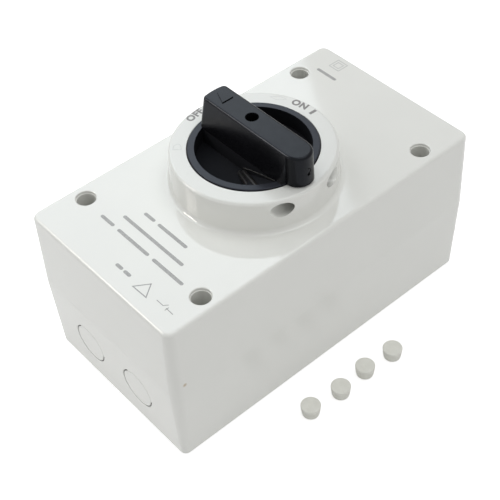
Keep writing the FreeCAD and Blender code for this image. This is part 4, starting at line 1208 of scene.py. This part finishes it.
@dataclass(frozen=True)
class Lamp:
    """Square soft lamp that looks at the switch, in metres and watts."""

    name: str
    place: Place
    size: float
    power: float
    colour: Colour
    lights: bool = True
    shines: bool = True

    def build(self, target: Vector) -> None:
        """Sets the lamp up, to light and to show in reflections as its fields say.

        Args:
            target: The point that it looks at.
        """
        data = bpy.data.lights.new(self.name, "AREA")
        data.size = self.size
        data.energy = self.power
        data.color = self.colour
        lamp = bpy.data.objects.new(self.name, data)
        lamp.visible_diffuse = self.lights
        lamp.visible_glossy = self.shines
        aim = (target - Vector(self.place)).to_track_quat("-Z", "Y")
        lamp.matrix_world = Matrix.Translation(self.place) @ aim.to_matrix().to_4x4()
        bpy.context.scene.collection.objects.link(lamp)


@dataclass
class Studio:
    """White table, soft lamps and the camera of the photograph, in metres and degrees."""

    azimuth: float = 51.43
    elevation: float = 45.88
    roll: float = -3.63
    distance: float = 0.560
    target: Place = (0.00074, -0.00634, 0.040)
    focal_pixels: float = 1164.0
    frame_pixels: float = 500.0
    sensor: float = 36.0
    clip: Point = (0.01, 20.0)
    ambient: float = 0.445
    table_half: float = 6.0
    table_colour: Colour = (0.75, 0.75, 0.75)
    table_glow: float = 0.06
    table_shine: float = 0.55
    lamps: tuple[Lamp, ...] = (
        Lamp("Left bright card", (-0.683, 0.183, 0.747), 0.85, 5.6, (0.90, 1.0, 1.06), lights=False),
        Lamp("Front warm card", (-0.46, -0.51, 0.60), 0.24, 3.6, (1.0, 0.93, 0.86), lights=False),
        Lamp("Overhead soft box", (0.15, 0.25, 1.3), 0.8, 4.4, (0.97, 1.0, 1.01)),
        Lamp("High left fill", (-0.75, -0.20, 1.05), 0.7, 2.8, (0.96, 1.0, 1.02), shines=False),
        Lamp("Front fill", (-0.65, -0.88, 0.45), 0.6, 1.8, (1.0, 1.0, 0.98), shines=False),
        Lamp("Right fill", (0.95, 0.0, 0.40), 0.6, 0.9, (1.0, 1.0, 0.98), shines=False),
    )

    def build(self) -> None:
        """Makes the camera, the world, the table and the lamps."""
        self.camera()
        self.world()
        self.table()
        for lamp in self.lamps:
            lamp.build(Vector(self.target))
        bpy.context.scene.view_settings.view_transform = "Standard"

    def axes(self) -> tuple[Vector, Vector, Vector]:
        """The camera's right, up and back directions."""
        turn, rise, lean = (math.radians(angle) for angle in (self.azimuth, self.elevation, self.roll))
        back = Vector((math.sin(turn) * math.cos(rise), -math.cos(turn) * math.cos(rise), math.sin(rise)))
        level = Vector((math.cos(turn), math.sin(turn), 0.0))
        upright = back.cross(level)
        right = level * math.cos(lean) + upright * math.sin(lean)
        up = upright * math.cos(lean) - level * math.sin(lean)
        return right, up, back

    def camera(self) -> None:
        """Puts the camera where the photograph was taken from."""
        data = bpy.data.cameras.new("Camera")
        data.sensor_width = self.sensor
        data.lens = self.focal_pixels * self.sensor / self.frame_pixels
        data.clip_start, data.clip_end = self.clip
        camera = bpy.data.objects.new("Camera", data)
        right, up, back = self.axes()
        turn = Matrix((right, up, back)).transposed().to_4x4()
        camera.matrix_world = Matrix.Translation(Vector(self.target) + back * self.distance) @ turn
        bpy.context.scene.collection.objects.link(camera)
        bpy.context.scene.camera = camera

    def world(self) -> None:
        """White surroundings to look at and in reflections, dimmer as a lamp."""
        world = bpy.data.worlds.new("Studio")
        bpy.context.scene.world = world
        world.use_nodes = True
        nodes = Nodes(world.node_tree)
        background = nodes.add("ShaderNodeBackground", {"Color": (1.0, 1.0, 1.0, 1.0)})
        rays = ("Is Camera Ray", "Is Glossy Ray", "Is Transmission Ray")
        nodes.link(nodes.for_rays(rays, self.ambient, 1.0), "Result", background, "Strength")
        nodes.link(background, "Background", nodes.add("ShaderNodeOutputWorld"), "Surface")

    def table(self) -> None:
        """Wide pale table top that fades into the white surroundings."""
        half = self.table_half
        corners = [(-half, -half, 0.0), (half, -half, 0.0), (half, half, 0.0), (-half, half, 0.0)]
        mesh = bpy.data.meshes.new("table_top")
        mesh.from_pydata(corners, [], [(0, 1, 2, 3)])
        table = bpy.data.objects.new("table_top", mesh)
        bpy.context.scene.collection.objects.link(table)
        material = bpy.data.materials.new("White table")
        material.use_nodes = True
        nodes = Nodes(material.node_tree)
        diffuse = nodes.add("ShaderNodeBsdfDiffuse", {"Color": (*self.table_colour, 1.0)})
        glow = nodes.add("ShaderNodeEmission")
        rays = ("Is Camera Ray", "Is Glossy Ray")
        level = nodes.for_rays(rays, self.table_glow, self.table_glow + self.table_shine)
        nodes.link(level, "Result", glow, "Strength")
        both = nodes.add("ShaderNodeAddShader")
        nodes.link(diffuse, "BSDF", both, 0)
        nodes.link(glow, "Emission", both, 1)
        nodes.link(both, "Shader", nodes.add("ShaderNodeOutputMaterial"), "Surface")
        mesh.materials.append(material)


def main() -> None:
    """Loads the frame, dresses it, adds the marks and sets up the studio."""
    logging.basicConfig(level=logging.INFO, format="%(name)s: %(message)s")
    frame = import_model()
    Studio().build()
    materials = {key: finish.build() for key, finish in FINISHES.items()}
    for assembly in (case_and_rail(), turning_handle(), switch_block()):
        assembly.dress(frame, materials)
    for group in (CoverPrint(), DialMarks(), GripLines(), CaseLines(), CapRibs()):
        for piece in group.build(materials):
            LOG.info("made %s with %d faces", piece.name, len(piece.data.polygons))


if __name__ == "__main__":
    main()
